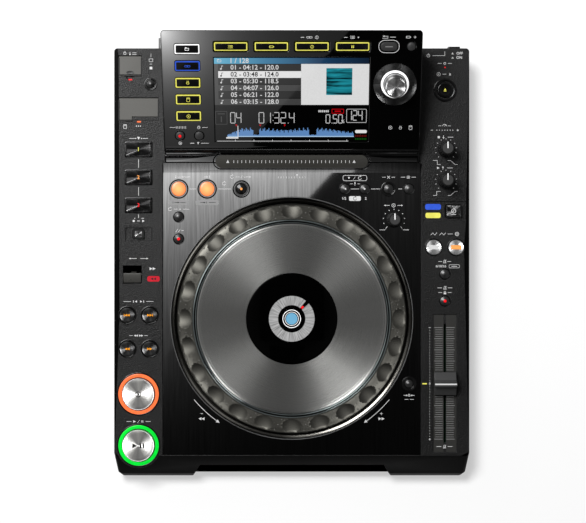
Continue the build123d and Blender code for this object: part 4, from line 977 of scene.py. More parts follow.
# Transport keys: a turned silver cap inside a dark gap and a lit ring.
for node, light in (("cue_button", "lit_orange"), ("play_button", "lit_green")):
    at = round_cap(node, "chrome_cap", crown=0.0, edge=0.9, steps=128)
    bezel(
        f"{node}_edge", at, 13.5, 14.25, at.top + 0.1, slot="chrome_cap", finish="edge_spun", bevel=0.25,
        body=node,
    )
    bezel(f"{node}_light", at, 15.1, 18.2, 0.7, slot=light, bevel=0.35)
    bezel(f"{node}_bezel", at, 18.25, 19.4, 0.45)
play_marks = [triangle(4.6, 0.0, -3.0), stroke(1.3, 4.4, 2.0), stroke(1.3, 4.4, 4.6)]
on_key("play_symbol", play_marks, play, deck, "button_black", "play_button", finish="black_print")
cue_marks = [band(2.0, 2.6, *ink, steps=32), dot(0.8)]
on_key(
    "cue_symbol", cue_marks, spot("cue_button", deck), deck, "button_black", "cue_button",
    finish="black_print",
)

# Search and track keys: dark turned caps with lit arrows.
for kind in ("track", "search"):
    for way, direction, facing in (("back", -1, pi), ("forward", 1, 0.0)):
        node = f"{kind}_{way}_button"
        at = round_cap(node, "chrome_cap", crown=0.0, dish=0.25, edge=0.7, finish="dark_spun")
        bezel(f"{node}_bezel", at, 7.1, 8.3, 0.35)
        marks = [triangle(2.3, facing, direction * x) for x in (-1.1, 1.1)]
        if kind == "track":
            marks.append(stroke(0.55, 2.3, direction * 2.7))
        on_key(f"{node}_symbol", marks, at, deck, "lit_orange", node, lift=0.02, finish="lit_gold")

# Hot cue pads: dark turned plates with a lit figure.
for number, light in ((1, "lit_yellow"), (2, "lit_amber"), (3, "lit_red")):
    node = f"hot_cue_pad_{number}"
    at = square_cap(node, "chrome_cap", edge=0.6, finish="pad_spun", trim=2.2)
    surround = softened(outline(at.width + 0.9, at.length + 0.9, 1.5, -0.3, 0.4, 1.2), 0.15)
    piece(f"{node}_surround", moved(surround, at.x, at.y), deck, "button_black")
    on_key(f"{node}_figure", [lettered(str(number), 3.4, *ink)], at, deck, light, node)

for node, trim, finish in (("call_key", 2.6, "key_spun"), ("jog_mode_button", 1.0, "pad_spun")):
    at = square_cap(node, "chrome_cap", edge=0.7, finish=finish, trim=trim)
    key_frame = outline(at.width, at.length, trim * 0.6, at.top - 0.5, at.top - 0.1, 1.0)
    piece(f"{node}_frame", moved(key_frame, at.x, at.y), deck, "button_black", node, finish="black_print")
mode_marks = [band(1.6, 2.1, *ink, steps=32), dot(0.5), stroke(4.4, 0.45, 0, -3.1)]
on_key("jog_mode_symbol", mode_marks, spot("jog_mode_button", deck), deck, "white_print", "jog_mode_button")

# Silver caps.
for node, light in (("sync_button", "white_print"), ("master_button", "lit_amber")):
    at = round_cap(node, "button_silver", crown=0.5, edge=0.8)
    bezel(f"{node}_bezel", at, 7.1, 8.0, 0.3)
    on_key(f"{node}_patch", [plate(9.4, 3.8, *ink, 0.5)], at, deck, light, node)

# Eject key in its deep bezel.
at = round_cap("eject_button", "button_black", crown=0.0, dish=0.5, edge=0.8)
bezel("eject_bezel", at, 7.9, 10.5, 1.2, bevel=0.7)
eject_marks = [triangle(2.1, pi / 2, 0, 0.5), stroke(2.3, 0.5, 0, -1.2)]
on_key("eject_symbol", eject_marks, at, deck, "lit_yellow", "eject_button")

# Lit loop keys.
for node in ("loop_in_button", "loop_out_button"):
    at = round_cap(node, "lit_amber", crown=0.5, edge=0.6, finish="loop_glow")
    bezel(f"{node}_ember", at, 6.3, 7.5, -0.15, slot="lit_amber", finish="ember", bevel=0.05)
    bezel(f"{node}_bezel", at, 7.5, 8.8, 0.5, finish="bezel_black")
at = round_cap("reloop_button", "button_black", crown=0.9, edge=0.8)
bezel("reloop_bezel", at, 6.6, 8.0, 0.5, bevel=0.2)
bezel("reloop_inner_ring", at, 5.1, 6.4, 0.3, bevel=0.1, finish="knob_black")
on_key("reloop_lamp", [dot(1.1)], at, deck, "lit_amber", "reloop_button")

# Small domed caps; two have a lamp.
small_caps = (
    "loop_mode", "slip", "call_back", "call_next", "delete", "memory", "tempo_range", "master_tempo",
    "usb_stop", "tempo_reset",
)
for short in small_caps:
    node = f"{short}_button"
    at = round_cap(node, "button_black", crown=1.2, edge=0.8, steps=48, finish="dome_black")
    bezel(f"{node}_bezel", at, at.width / 2 + 0.3, at.width / 2 + 0.95, 0.25, bevel=0.1)
    if short in ("slip", "master_tempo"):
        on_key(f"{node}_lamp", [dot(1.35)], at, deck, "lit_red", node)
for node, turn in (("call_back_button", pi), ("call_next_button", 0.0)):
    on_key(f"{node}_symbol", [triangle(2.0, turn)], spot(node, deck), deck, "white_print", node)
bezel("delete_guard", spot("delete_button", deck), 5.3, 6.9, 0.8, bevel=0.5)
bezel("reset_guard", spot("tempo_reset_button", deck), 4.7, 6.4, 0.5)
bezel("stop_guard", spot("usb_stop_button", deck), 4.7, 5.8, 0.6)

# Keys of the display.
for node in ("browse_key", "tag_key", "info_key", "menu_key"):
    at = square_cap(node, "button_black", display, trim=2.9)
    light = outline(at.width - 0.9, at.length - 1.1, 0.9, -0.2, 0.3, 1.0)
    piece(f"{node}_light", moved(light, at.x, at.y), display, "lit_yellow")
for node in ("quantize_button", "time_mode_button", "track_tag_button"):
    round_cap(node, "button_black", display, crown=0.6, edge=0.6, steps=48, finish="satin_black")
quantize = spot("quantize_button", display)
on_key("quantize_lamp", [dot(1.3)], quantize, display, "lit_red", "quantize_button")
at = square_cap("back_button", "button_black", display, corner=3.6, finish="satin_black")
piece("back_key_ring", moved(outline(18.3, 11.5, 0.45, *ink, 5.4), at.x, at.y), display, "white_print")

source_lights = ["lit_yellow", "lit_yellow", "lit_yellow", "lit_blue", "lit_white"]
source_spots = [(-91.25, 27.8 + 15.0 * row) for row in range(len(source_lights))]
source_caps = [moved(softened(plate(19.6, 6.6, -skirt, 1.2, 0.9), 0.35), *place) for place in source_spots]
piece("source_caps", joined(source_caps), display, "button_black", "source_keys", ["source_keys"])
for row, light in enumerate(source_lights):
    frame_line = moved(outline(21.7, 8.6, 0.95, -0.2, 0.3, 1.1), *source_spots[row])
    piece(f"source_light_{row + 1}", frame_line, display, light)
square_cap("power_button", "button_black", back)

# ---- Selector ------------------------------------------------------------------------------------
pick = spot("selector_knob", display, 0.0)
dish_profile = [
    (3.6, -1.2), (13.2, -1.2), (16.6, -0.9), (18.0, 0.0), (18.9, 0.25), (18.9, -0.6), (18.0, -1.6),
    (3.6, -1.6),
]
dish = wrapped_here(turned(dish_profile, 128, closed=True))
piece("selector_dish", moved(dish, pick.x, pick.y), display, "chrome_cap", finish="dark_spun")
ring_light = softened(band(10.3, 12.3, -1.3, 0.5, 96), 0.4)
piece("selector_light", moved(ring_light, pick.x, pick.y), display, "lit_white")
knob_profile = [
    (3.1, 1.2), (9.9, 1.2), (9.9, 8.4), (9.5, 11.0), (8.8, 12.0), (8.0, 12.2), (7.4, 11.9), (0, 11.6),
    (0, 10.2), (3.1, 10.2),
]
knob = moved(wrapped_here(turned(knob_profile, 96)), pick.x, pick.y)
piece("selector_grip", knob, display, "chrome_cap", "selector_knob", ["selector_knob"], finish="pick_spun")

# ---- Knobs ---------------------------------------------------------------------------------------
def ribbed_knob(node, flutes=18, taper=0.84, flute_depth=0.07, rows=5):
    """A tapered knob with flutes round it, a smooth top and a white pointer; the sides get a darker copy of
    the plastic as painted shade, the top a lighter one as painted light.
    """
    at = spot(node, deck, 0.0)
    base, tip, top = at.width / 2, at.width / 2 * taper, at.top
    profile = [(0, 0.4), (base, 0.4), (base, 2.6), (base - 0.5, 3.4)]
    for step in range(rows + 1):
        share = step / rows
        profile.append((base - 0.6 + (tip - base + 0.6) * share, 3.6 + (top - 4.6) * share))
    profile += [(tip - 0.3, top - 0.4), (tip - 0.9, top), (0, top - 0.15)]
    work = turned(profile, flutes * 6)
    for vertex in work.verts:
        if 3.5 < vertex.co.z < top - 0.9 and hypot(vertex.co.x, vertex.co.y) > 1:
            swell = 0.5 + 0.5 * cos(atan2(vertex.co.y, vertex.co.x) * flutes)
            vertex.co.x *= 1 - flute_depth * swell
            vertex.co.y *= 1 - flute_depth * swell
    # Painted shade: the fluted sides take the darker copy of the knob plastic.
    piece(
        f"{node}_body", moved(wrapped_here(work), at.x, at.y), deck, "knob_black", node, [node],
        finish="knob_side",
    )
    lid = turned([(0, -0.3), (tip - 1.1, -0.3), (tip - 1.1, -0.02), (0, 0.0)], 64)
    # Painted light: the top takes the lighter copy of the knob plastic.
    piece(
        f"{node}_top", moved(wrapped_here(lid), at.x, at.y, top), deck, "knob_black", node,
        finish="knob_top",
    )
    pointer = stroke(0.75, tip * 0.95, 0, tip * 0.45, 0, -0.3, 0.12)
    # The white pointer takes the lit white finish: a painted glow, as the knob holds no lamp.
    on_key(f"{node}_pointer", [pointer], at, deck, "white_print", node, finish="lit_white")


for node in ("touch_brake_knob", "release_start_knob", "jog_adjust_knob"):
    ribbed_knob(node)

# ---- Tempo fader ---------------------------------------------------------------------------------
fader = spot("tempo_fader", deck, 0.0)
moulding("fader_cap", "tempo_fader", "knob_black", "tempo_fader", 0.5)
on_key("fader_line", [plate(19.6, 1.3, -0.3, 0.08)], fader, deck, "white_print", "tempo_fader")

# ---- Printed marks -------------------------------------------------------------------------------
def group(*shapes, x=0.0, y=0.0, turn=0.0):
    """Several flat shapes as one mark, turned and placed."""
    return moved(joined(shapes), x, y, 0, turn)


def placed(x, y, *shapes):
    """Several flat shapes as one mark, in its place."""
    return moved(joined(shapes), x, y)


def run(points, width=0.35):
    """A thin line through points."""
    pieces = []
    for (x0, y0), (x1, y1) in zip(points, points[1:]):
        bar = plate(hypot(x1 - x0, y1 - y0) + width, width, *ink)
        pieces.append(moved(bar, (x0 + x1) / 2, (y0 + y1) / 2, 0, atan2(y1 - y0, x1 - x0)))
    return joined(pieces)


def ring(radius, width=0.35, x=0.0, y=0.0, start=0.0, swing=full_turn):
    """A thin ring, or a part of one."""
    return moved(band(radius - width, radius, *ink, 32, start, swing), x, y)


def framed(width, length, line=0.35, corner=0.5, x=0.0, y=0.0):
    """A thin rounded rectangle."""
    return moved(outline(width, length, line, *ink, corner), x, y)


def patch(width, length, x=0.0, y=0.0, corner=0.5):
    """A filled rounded rectangle."""
    return moved(plate(width, length, *ink, corner), x, y)


def figures(text, height, x=0.0, y=0.0):
    """Plain figures, or ON and OFF."""
    return moved(lettered(text, height, *ink), x, y)


def arrow(length, turn=0.0, x=0.0, y=0.0):
    """A thin arrow."""
    return group(stroke(length, 0.4), triangle(1.6, 0, length / 2 + 0.4), x=x, y=y, turn=turn)


symbols = {
    "plug": lambda: [framed(2.4, 2.0), stroke(0.35, 1.1, -0.55, 1.5), stroke(0.35, 1.1, 0.55, 1.5)],
    "card": lambda: [framed(3.0, 3.8)] + [stroke(0.35, 0.9, contact, 1.0) for contact in (-0.7, 0.0, 0.7)],
    "disc": lambda: [ring(1.7), dot(0.5)],
    "loop": lambda: [
        ring(1.6, 0.4, start=radians(60), swing=radians(290)), triangle(1.4, radians(-35), 0.9, 1.4),
    ],
    "list": lambda: [group(dot(0.25, -1.9), stroke(3.0, 0.4, 0.3), y=row) for row in (-1.0, 0.0, 1.0)],
    "tag": lambda: [framed(3.6, 2.0), dot(0.3, -1.1), triangle(1.2, 0, 2.1)],
    "info": lambda: [ring(1.5, 0.3), dot(0.28, 0, 0.7), stroke(0.4, 1.1, 0, -0.35)],
    "menu": lambda: [stroke(0.9, 0.9, a, b) for a in (-0.7, 0.7) for b in (-0.6, 0.6)],
    "chain": lambda: [framed(3.0, 1.7, 0.35, 0.8, -1.1), framed(3.0, 1.7, 0.35, 0.8, 1.1)],
    "folder": lambda: [framed(3.6, 2.2), stroke(1.5, 0.5, -0.9, 1.3)],
    "metronome": lambda: [
        run([(-1.2, -1.3), (-0.5, 1.3), (0.5, 1.3), (1.2, -1.3), (-1.2, -1.3)]),
        run([(0, -0.8), (1.2, 1.4)]),
    ],
    "eject": lambda: [triangle(1.6, pi / 2, 0, 0.4), stroke(1.7, 0.4, 0, -0.9)],
}


def symbol(name, x=0.0, y=0.0):
    """One of the plain pictograms, placed."""
    return group(*symbols[name](), x=x, y=y)


def on_dial(radius, step, count=11):
    """Where one of the marks round a knob stands, and its direction: they run from low to high."""
    angle = radians(225 - 270 * step / (count - 1))
    return radius * cos(angle), radius * sin(angle), angle


def dial_ticks(at, inner, outer, count=11):
    """Short lines round a knob."""
    length, middle = outer - inner, (inner + outer) / 2
    return group(*[stroke(length, 0.35, *on_dial(middle, step)) for step in range(count)], x=at.x, y=at.y)


def lamp_window(name, width, length, x, y, slot, low=-0.2, high=0.12, finish=None):
    """A small lit window, flush with its face."""
    window = plate(width, length, low, high, min(width, length) * 0.35)
    piece(name, moved(window, x, y), deck, slot, finish=finish)


def printed(name, marks, on=deck, finish=None, lift=0.0):
    """Marks in ink on a face."""
    piece(name, moved(joined(marks), z=lift), on, "white_print", finish=finish)


adjust_knob = spot("jog_adjust_knob", deck, 0.0)

column_marks = [
    placed(
        -145.6, 185.3, symbol("plug", -4.6), arrow(2.2, -pi / 2, 0, 0.4), stroke(3.6, 0.4, 4.0, -1.0),
        stroke(3.6, 0.4, 4.0, 0.6),
    ),
    placed(
        -126.7, 177.4, stroke(0.35, 3.2, 0, 6.2), framed(3.6, 3.0, y=1.8), stroke(2.2, 0.35, 0, -1.6),
        patch(2.4, 2.4, 0, -5.2, 0.2),
    ),
    symbol("card", -150.0, 119.6),
    placed(-138.0, 120.0, dot(0.5, -1.8), dot(0.5), dot(0.5, 1.8)),
    placed(left_x, 108.9, dashes(5.0, 0.4, 6.0), triangle(2.6, -pi / 2), dot(0.5, -2.6), dot(0.5, 2.6)),
    stroke(0.4, 7.6, left_x, 86.3), stroke(0.4, 7.6, left_x, 61.2), stroke(0.4, 3.2, left_x, 38.9),
    placed(
        left_x, 34.6, dot(1.0, -4.4), stroke(2.6, 0.5, 0.0), triangle(2.2, 0, 4.4),
        stroke(0.7, 0.7, -3.4, 2.4), stroke(2.4, 0.4, 3.8, 2.4),
    ),
    placed(left_x, 0.8, arrow(6.0, pi, -4.6), arrow(6.0, 0, 4.6)),
    placed(-125.0, -8.4, triangle(2.6, 0, -1.6), triangle(2.6, 0, 1.2)),
    placed(
        left_x, -37.9, dashes(6.5, 0.35, 10.2), dashes(0.6, 2.0, 4.6), triangle(2.0, pi, -2.4),
        triangle(2.0, 0, 2.4),
    ),
    placed(
        left_x, -68.6, dashes(3.0, 0.35, 6.8), triangle(1.9, pi, -3.3), triangle(1.9, pi, -1.5),
        triangle(1.9, 0, 1.5), triangle(1.9, 0, 3.3),
    ),
    placed(
        left_x, -145.9, dashes(4.4, 0.35, 8.6), triangle(2.4, 0, -3.6),
        run([(-0.9, -1.2), (0.9, 1.2)], 0.3), group(dashes(0.5, 2.0, 0.5), x=3.4),
    ),
    placed(123.0, 183.4, ring(1.5, 0.4, start=radians(115), swing=radians(310)), stroke(0.4, 1.9, 0, 1.0)),
    run([(126.8, 183.4), (137.8, 183.4), (137.8, 187.0)]),
    placed(
        151.2, 185.4, stroke(2.0, 0.4, -6.4, -0.6), triangle(1.2, pi / 2, -6.4, 0.4), figures("OFF", 2.4),
    ),
    placed(
        151.2, 181.6, stroke(2.0, 0.4, -6.4, -0.6), stroke(1.0, 0.6, -6.4, 0.2), figures("ON", 2.4, -0.4),
    ),
    placed(137.8, 176.4, dashes(3.6, 0.35, 4.6), ring(1.1, 0.4)),
    placed(column_x, 166.7, symbol("disc", -5.6), stroke(3.4, 0.4, -0.4), symbol("eject", 4.6)),
    placed(
        137.6, 119.8, ring(2.0, 0.4, start=0.0, swing=pi), run([(0, 0), (1.0, 1.1)]),
        stroke(2.6, 0.35, -4.2, 0.4), stroke(2.6, 0.35, 4.2, 0.4),
    ),
    placed(
        137.8, 116.3, dashes(2.0, 0.45, 11.6), *[dot(0.4, step * 2.4) for step in range(-3, 4)],
        stroke(0.45, 2.0, 11.6),
    ),
    placed(
        138.0, 110.0, patch(2.0, 2.0, -5.6, 0, 0.2), arrow(2.0, -pi / 2, -1.4, 0.6), stroke(5.0, 0.4, 5.0),
    ),
    placed(137.5, 82.3, triangle(2.2, 0, -5.6), arrow(2.0, pi / 2, -1.4, -0.4), stroke(5.0, 0.4, 5.0)),
    run([(127.4, 89.0), (131.0, 89.0), (131.0, 85.4), (133.8, 85.4)]),
    run([(127.4, 57.6), (130.5, 57.6), (130.5, 61.2), (133.8, 61.2)]),
    *[run([(140.7, y), (143.0, y), (147.0, far), (149.2, far)]) for y, far in ((89.0, 85.4), (57.6, 61.2))],
    *[dial_ticks(spot(node, deck, 0.0), 9.0, 10.0) for node in ("touch_brake_knob", "release_start_knob")],
    placed(
        134.6, 22.9, run([(-9.4, -1), (-7.6, 1), (-5.8, -1), (-4.0, 1)]),
        run([(-1.4, -1), (0.4, 1), (2.2, -1), (4.0, 1)]), stroke(4.6, 0.35, 8.0, 0.0),
        ring(1.8, 0.45, 14.2), dot(0.6, 14.2),
    ),
    placed(137.7, -1.9, symbol("metronome"), dashes(3.4, 0.4, 4.0)),
    placed(
        137.7, -6.2, figures("6/10/16", 2.2, -3.4), framed(9.6, 3.2, 0.3, 1.0, 8.6), stroke(5.0, 0.5, 8.6),
    ),
    placed(137.9, -25.6, symbol("metronome"), dashes(4.0, 0.4, 4.6)),
    placed(137.9, -29.8, ring(0.9, 0.35, 0, 0.4), patch(2.2, 1.5, 0, -0.8, 0.2), dashes(3.4, 0.35, 4.2)),
]
printed("column_print", column_marks)

arc_radius, arc_swing = 114.3, 15.0
arc_starts = (219.8, 305.2)  # degrees
arc_head_turn = 35.4  # degrees from the front
panel_marks = [
    placed(-98.2, 74.2, stroke(0.5, 2.4, -6.2), arrow(5.0, 0, -2.4), stroke(5.6, 0.4, 4.2)),
    placed(-76.4, 74.2, arrow(2.6, 0, -1.4), stroke(0.5, 2.4, 2.2)),
    placed(
        -45.5, 74.2, symbol("loop", -8.4), stroke(3.6, 0.4, -3.2), run([(-0.2, -1.2), (0.8, 1.2)], 0.3),
        arrow(5.4, 0, 5.0),
    ),
    placed(
        0.0, 73.8, *[stroke(0.35, 1.6, step * 2.4) for step in range(-5, 6)],
        triangle(1.8, -pi / 2, 4.8, 1.8),
    ),
    symbol("loop", -61.0, 68.2),
    stroke(5.8, 0.4, -89.2, 63.4), stroke(11.4, 0.4, -60.4, 63.4),
    placed(
        -101.6, 45.2, symbol("loop", -8.0), stroke(3.2, 0.4, -2.8), dot(0.5, 1.2), stroke(5.2, 0.4, 6.6),
    ),
    placed(
        -101.9, 25.9, run([(-2.4, -1.2), (-0.8, 1.2)]), run([(0.0, -1.2), (1.6, 1.2)]),
        stroke(2.0, 0.4, 3.6),
    ),
    framed(21.8, 5.2, 0.4, 1.8, 56.9, 73.2),
    placed(
        56.9, 73.2, triangle(2.0, -pi / 2, -5.4), run([(-1.2, -1.2), (0.2, 1.2)], 0.3), symbol("loop", 4.4),
    ),
    placed(56.9, 68.0, arrow(2.4, pi / 2, 0, -0.4), dashes(2.4, 0.35, 3.2)),
    patch(10.6, 4.2, 56.9, 54.8, 1.2),
    figures("1/2", 2.3, 47.0, 54.8), figures("2", 2.3, 66.6, 54.8),
    stroke(8.0, 0.4, 56.9, 63.4), stroke(8.0, 0.4, 75.6, 63.4), stroke(3.4, 0.4, 97.6, 63.4),
    placed(87.2, 74.0, run([(-1, -1), (1, 1)], 0.45), run([(-1, 1), (1, -1)], 0.45), dashes(3.2, 0.4, 4.2)),
    placed(105.0, 74.0, framed(2.6, 2.4), stroke(1.2, 0.35), stroke(0.35, 1.2), dashes(4.0, 0.4, 4.8)),
    placed(91.6, 48.6, ring(1.7, 0.4), dot(0.4), arrow(4.0, pi, -5.4), arrow(4.0, 0, 5.4)),
    placed(adjust_knob.x, adjust_knob.y, *[dot(0.42, *on_dial(9.6, step)[:2]) for step in range(11)]),
    placed(83.0, 27.0, run([(3.0, 2.6), (1.6, 0.6)]), stroke(5.2, 0.35, -1.4, -0.4)),
    placed(101.0, 27.0, run([(-3.0, 2.6), (-1.6, 0.6)]), stroke(5.2, 0.7, 1.8, -0.4)),
    placed(105.7, -122.4, arrow(2.6, 0, -3.6), figures("0", 2.6), arrow(2.6, pi, 3.6)),
    placed(105.7, -126.0, dashes(3.4, 0.35, 2.4)),
    placed(-81.0, -143.4, triangle(2.6, pi, -1.6), triangle(2.6, pi, 1.2)),
    stroke(2.2, 0.4, -81.0, -138.8),
    placed(80.6, -143.4, triangle(2.6, 0, -1.2), triangle(2.6, 0, 1.6)),
    stroke(2.2, 0.4, 80.6, -138.8), stroke(0.4, 2.2, 80.6, -138.8),
]
for start in arc_starts:
    arc = band(arc_radius - 0.2, arc_radius + 0.3, *ink, 40, radians(start), radians(arc_swing))
    panel_marks.append(moved(arc, 0, jog_y))
for side in (-1, 1):
    angle = radians(270 + side * arc_head_turn)
    x, y = arc_radius * cos(angle), jog_y + arc_radius * sin(angle)
    panel_marks.append(triangle(3.0, angle - side * pi / 2, x, y))
printed("panel_print", panel_marks)

pills = [patch(17.6, 4.4, -101.9, 51.2, 1.2), patch(20.9, 4.4, -76.1, 51.2, 1.2)]
printed("adjust_pills", pills, finish="grey_print")
pill_marks = [
    placed(-101.9, 51.2, stroke(0.4, 1.8, -5.0), arrow(3.4, 0, -2.0), stroke(4.6, 0.4, 4.0)),
    placed(-76.1, 51.2, arrow(3.4, 0, -4.4), stroke(0.4, 1.8, -0.6), stroke(6.0, 0.4, 4.6)),
    symbol("loop", 56.9, 54.8),
]
printed("pill_print", pill_marks, finish="black_print", lift=0.08)


# Seam lines of the doors and a frame round the call key, as black bands of painted shade; the finger groove
# of the lid, darkened as painted shade; and the fader's bed.
def open_seam(node, line=1.0, gap=0.1):
    """Dark bands of painted shade along the three free sides of a door, where its gap is."""
    at = spot(node, deck)
    across, along = at.width + 2 * gap + line, at.length + gap
    sides = [stroke(line, along, side * across / 2, -gap / 2) for side in (-1, 1)]
    front = stroke(across + line, line, 0, -at.length / 2 - gap - line / 2)
    return group(*sides, front, x=at.x, y=at.y)


# Painted shade: black bands where the gaps round the doors and the call key fall dark.
seams = [
    open_seam("usb_lid"), open_seam("card_door"),
    framed(25.4, 12.8, 0.8, 0.8, left_x, spot("call_key", deck).y),
]
printed("door_seam_shade", seams, finish="black_print")
groove = turned([(0, 0.0), (2.2, 0.05), (3.4, 0.14), (3.4, 0.02), (0, -0.1)], 32)
bmesh.ops.scale(groove, vec=(1.0, 0.42, 1.0), verts=groove.verts)
groove = moved(groove, -145.45, 168.2, 0.02)
# Painted shade: the shallow groove takes dark socket plastic, which darkens its hollow.
piece("lid_groove", groove, deck, "column_plastic", "usb_lid", finish="socket_black")
beds = [moved(plate(9.3, 124.0, -1.04, -0.985, 0.6), column_x + side * 5.75, -111.6) for side in (-1, 1)]
piece("fader_bed", joined(beds), deck, "column_plastic", finish="fader_recess")

# Lamps on the columns.
lamp_window("usb_lamp", 3.4, 1.2, -145.3, 161.8, "lit_red")
lamp_window("card_lamp", 3.6, 1.4, -137.5, 123.9, "lit_orange")
lamp_window("standby_lamp", 1.1, 1.1, 138.0, 172.8, "lit_red")
lamp_window("centre_lamp", 4.2, 1.1, 119.6, -111.9, "lit_yellow")
lamp_window("reverse_window", 11.2, 5.0, -124.4, -17.5, "lit_red", finish="window_red")
reverse_marks = [triangle(2.4, pi, x, -17.5) for x in (-125.8, -123.2)]
printed("reverse_print", reverse_marks, finish="black_print", lift=0.1)
mode_low, mode_high = -1.0, -0.65
lamp_window("mode_window_blue", 14.2, 5.2, 127.3, 47.3, "lit_blue", mode_low, mode_high)
lamp_window("mode_window_yellow", 13.6, 4.8, 127.3, 39.6, "lit_yellow", mode_low, mode_high)

# Fader scale.
scale_x, scale_top, scale_pitch, scale_gap, fader_floor = 137.6, -61.4, 10.05, 1.6, -1.0
side_x, zero_y, plus_y = 124.2, -111.9, -161.9
scale_lines = []
for number in range(51):
    long_line = number % 5 == 0
    reach, thickness = (18.2, 0.42) if long_line else (16.6, 0.28)
    half = reach / 2 - scale_gap
    for side in (-1, 1):
        x = scale_x + side * (scale_gap + half / 2)
        scale_lines.append(stroke(half, thickness, x, scale_top - number * scale_pitch / 5))
printed("fader_scale", scale_lines, finish="grey_print", lift=fader_floor)
side_dots = [number for number in range(1, 40) if number != 20]
side_scale = [dot(0.3, side_x, scale_top - number * scale_pitch / 4, steps=8) for number in side_dots]
side_scale += [stroke(1.8, 0.4, side_x, scale_top), figures("0", 2.0, side_x, zero_y)]
side_scale += [stroke(1.8, 0.4, side_x, plus_y), stroke(0.4, 1.8, side_x, plus_y)]
printed("fader_side_scale", side_scale)
printed(
    "fader_mark", [group(symbol("metronome"), dashes(4.2, 0.4, 5.0), x=scale_x, y=-168.6)],
    lift=fader_floor,
)

# Display marks.
display_marks = [
    placed(17.4, 98.0, stroke(3.0, 0.5, -8.0), symbol("chain", -2.0), symbol("info", 4.4)),
    placed(53.0, 98.0, stroke(3.0, 0.5, -6.0), symbol("list", 0.0), dot(0.6, 5.0)),
    placed(
        82.0, 98.2, run([(-3.0, -1.0), (1.6, -1.0), (1.6, 0.8), (-1.6, 0.8)]), triangle(1.6, pi, -2.2, 0.8),
        stroke(5.0, 0.4, 6.0),
    ),
    placed(103.8, 98.2, symbol("tag", -2.6), stroke(2.2, 0.4, 3.4), stroke(0.4, 2.2, 3.4)),
    placed(-98.4, 17.4, *[stroke(0.4, 2.2, step * 1.4) for step in range(-3, 4)], stroke(5.0, 0.35, -7.4)),
    placed(-82.6, 17.4, ring(1.4, 0.35), run([(0, 0.9), (0, 0), (0.8, 0)], 0.3), stroke(5.0, 0.35, 5.4)),
    placed(-99.4, 2.9, ring(1.5, 0.35), dot(0.5)),
    placed(-82.4, 2.9, stroke(3.6, 0.55, -6.4), triangle(2.0, -pi / 2, -1.0), stroke(7.0, 0.4, 5.0)),
    placed(96.6, 17.2, symbol("disc", -9.0), symbol("plug", 0.0, -0.4), symbol("card", 9.0)),
]
printed("display_print", display_marks, display)
for short in ("browse", "tag", "info", "menu"):
    node, drawn = f"{short}_key", "list" if short == "browse" else short
    on_key(f"{node}_symbol", [symbol(drawn)], spot(node, display), display, "lit_yellow", node)
for row, (drawn, light) in enumerate(zip(("disc", "card", "plug", "chain", "folder"), source_lights)):
    work = moved(symbol(drawn), *source_spots[row], 1.2)
    piece(f"source_symbol_{row + 1}", work, display, light, "source_keys")
back_key = spot("back_button", display)
on_key(
    "back_symbol", [stroke(6.5, 0.7)], back_key, display, "button_black", "back_button",
    finish="grey_print",
)

# Touch strip marks.
strip_marks = [stroke(0.45, 2.6, -52.0 + step * 3.58, 10.3) for step in range(30)]
strip_marks += [triangle(2.8, pi / 2, x, 10.6) for x in (-57.4, 56.0)]
printed("strip_print", strip_marks, lip)

# ---- Wheel display -------------------------------------------------------------------------------
head = wheel @ Matrix.Translation((0, 0, head_z))
ring_picture = wrapped_here(band(12.2, 20.4, *ink, 96, radians(52), radians(350)))
piece("head_ring", ring_picture, head, "screen_picture", finish="ring_picture")
pointed = head @ Matrix.Rotation(radians(47), 4, "Z")
piece("head_pointer", moved(plate(2.6, 1.9, 0.0, 0.12, 0.3), 14.0), pointed, "lit_red")
piece("head_rings", joined([ring(8.2, 0.55), ring(6.2, 0.35)]), head, "lit_white")
piece("head_disc", dot(5.15, steps=64), head, "screen_picture", finish="disc_picture")

# ---- Screen picture ------------------------------------------------------------------------------
seven = {
    "0": "abcdef", "1": "bc", "2": "abged", "3": "abgcd", "4": "fgbc", "5": "afgcd", "6": "afgecd",
    "7": "abc", "8": "abcdefg", "9": "abcdfg",
}
bars = {  # each bar's place across and up, in halves, and whether it stands upright
    "a": (0, 1, False), "g": (0, 0, False), "d": (0, -1, False), "f": (-1, 0.5, True),
    "b": (1, 0.5, True), "e": (-1, -0.5, True), "c": (1, -0.5, True),
}
points = {":": (-0.25, 0.25), ".": (-0.5,)}  # how high each point of a sign stands


def digits(text, width, height, x, y, line=0.68, gap=1.3):
    """Plain seven-bar figures on the screen."""
    shapes = []
    for sign in text:
        if sign in points:
            shapes += [stroke(line, line, x + line, y + share * height) for share in points[sign]]
            x += 2.4 * line
            continue
        for bar in seven[sign]:
            across, up, upright = bars[bar]
            reach = (height / 2 if upright else width) - line * 0.6
            size = (line, reach) if upright else (reach, line)
            shapes.append(stroke(*size, x + width / 2 * (1 + across), y + height / 2 * up))
        x += width + gap
    return joined(shapes)


def on_screen(name, shapes, finish, lift=0.0):
    """A part of the screen's picture, just above its glass."""
    made = piece(name, moved(joined(shapes), z=lift), display, "screen_picture", finish=finish)
    screen_names.append(made.name)


def row_bars(*rows):
    """Rows of the list, as bars."""
    return [stroke(72.6, 5.7, -28.1, rows_at[row]) for row in rows]


screen_names = []
rows_at = [71.4, 65.2, 59.2, 53.1, 47.0, 40.7]
on_screen("screen_title", [stroke(135.6, 5.2, -0.1, 77.3)], "title_picture")
on_screen("screen_margin", [stroke(3.4, 36.6, -66.2, 56.2)], "row_dim")
on_screen("screen_rows_dark", row_bars(0, 2, 4), "row_dark")
on_screen("screen_rows_dim", row_bars(3, 5), "row_dim")
lit_row = [stroke(72.6, 6.0, -28.1, rows_at[1]), triangle(4.0, pi, 6.5, rows_at[1])]
on_screen("screen_row_lit", lit_row, "screen_white")
on_screen("screen_panel", [stroke(59.6, 36.6, 38.1, 56.3)], "screen_paper")
on_screen("screen_cover", [stroke(22.8, 24.0, 41.8, 58.9)], "cover_picture", 0.08)

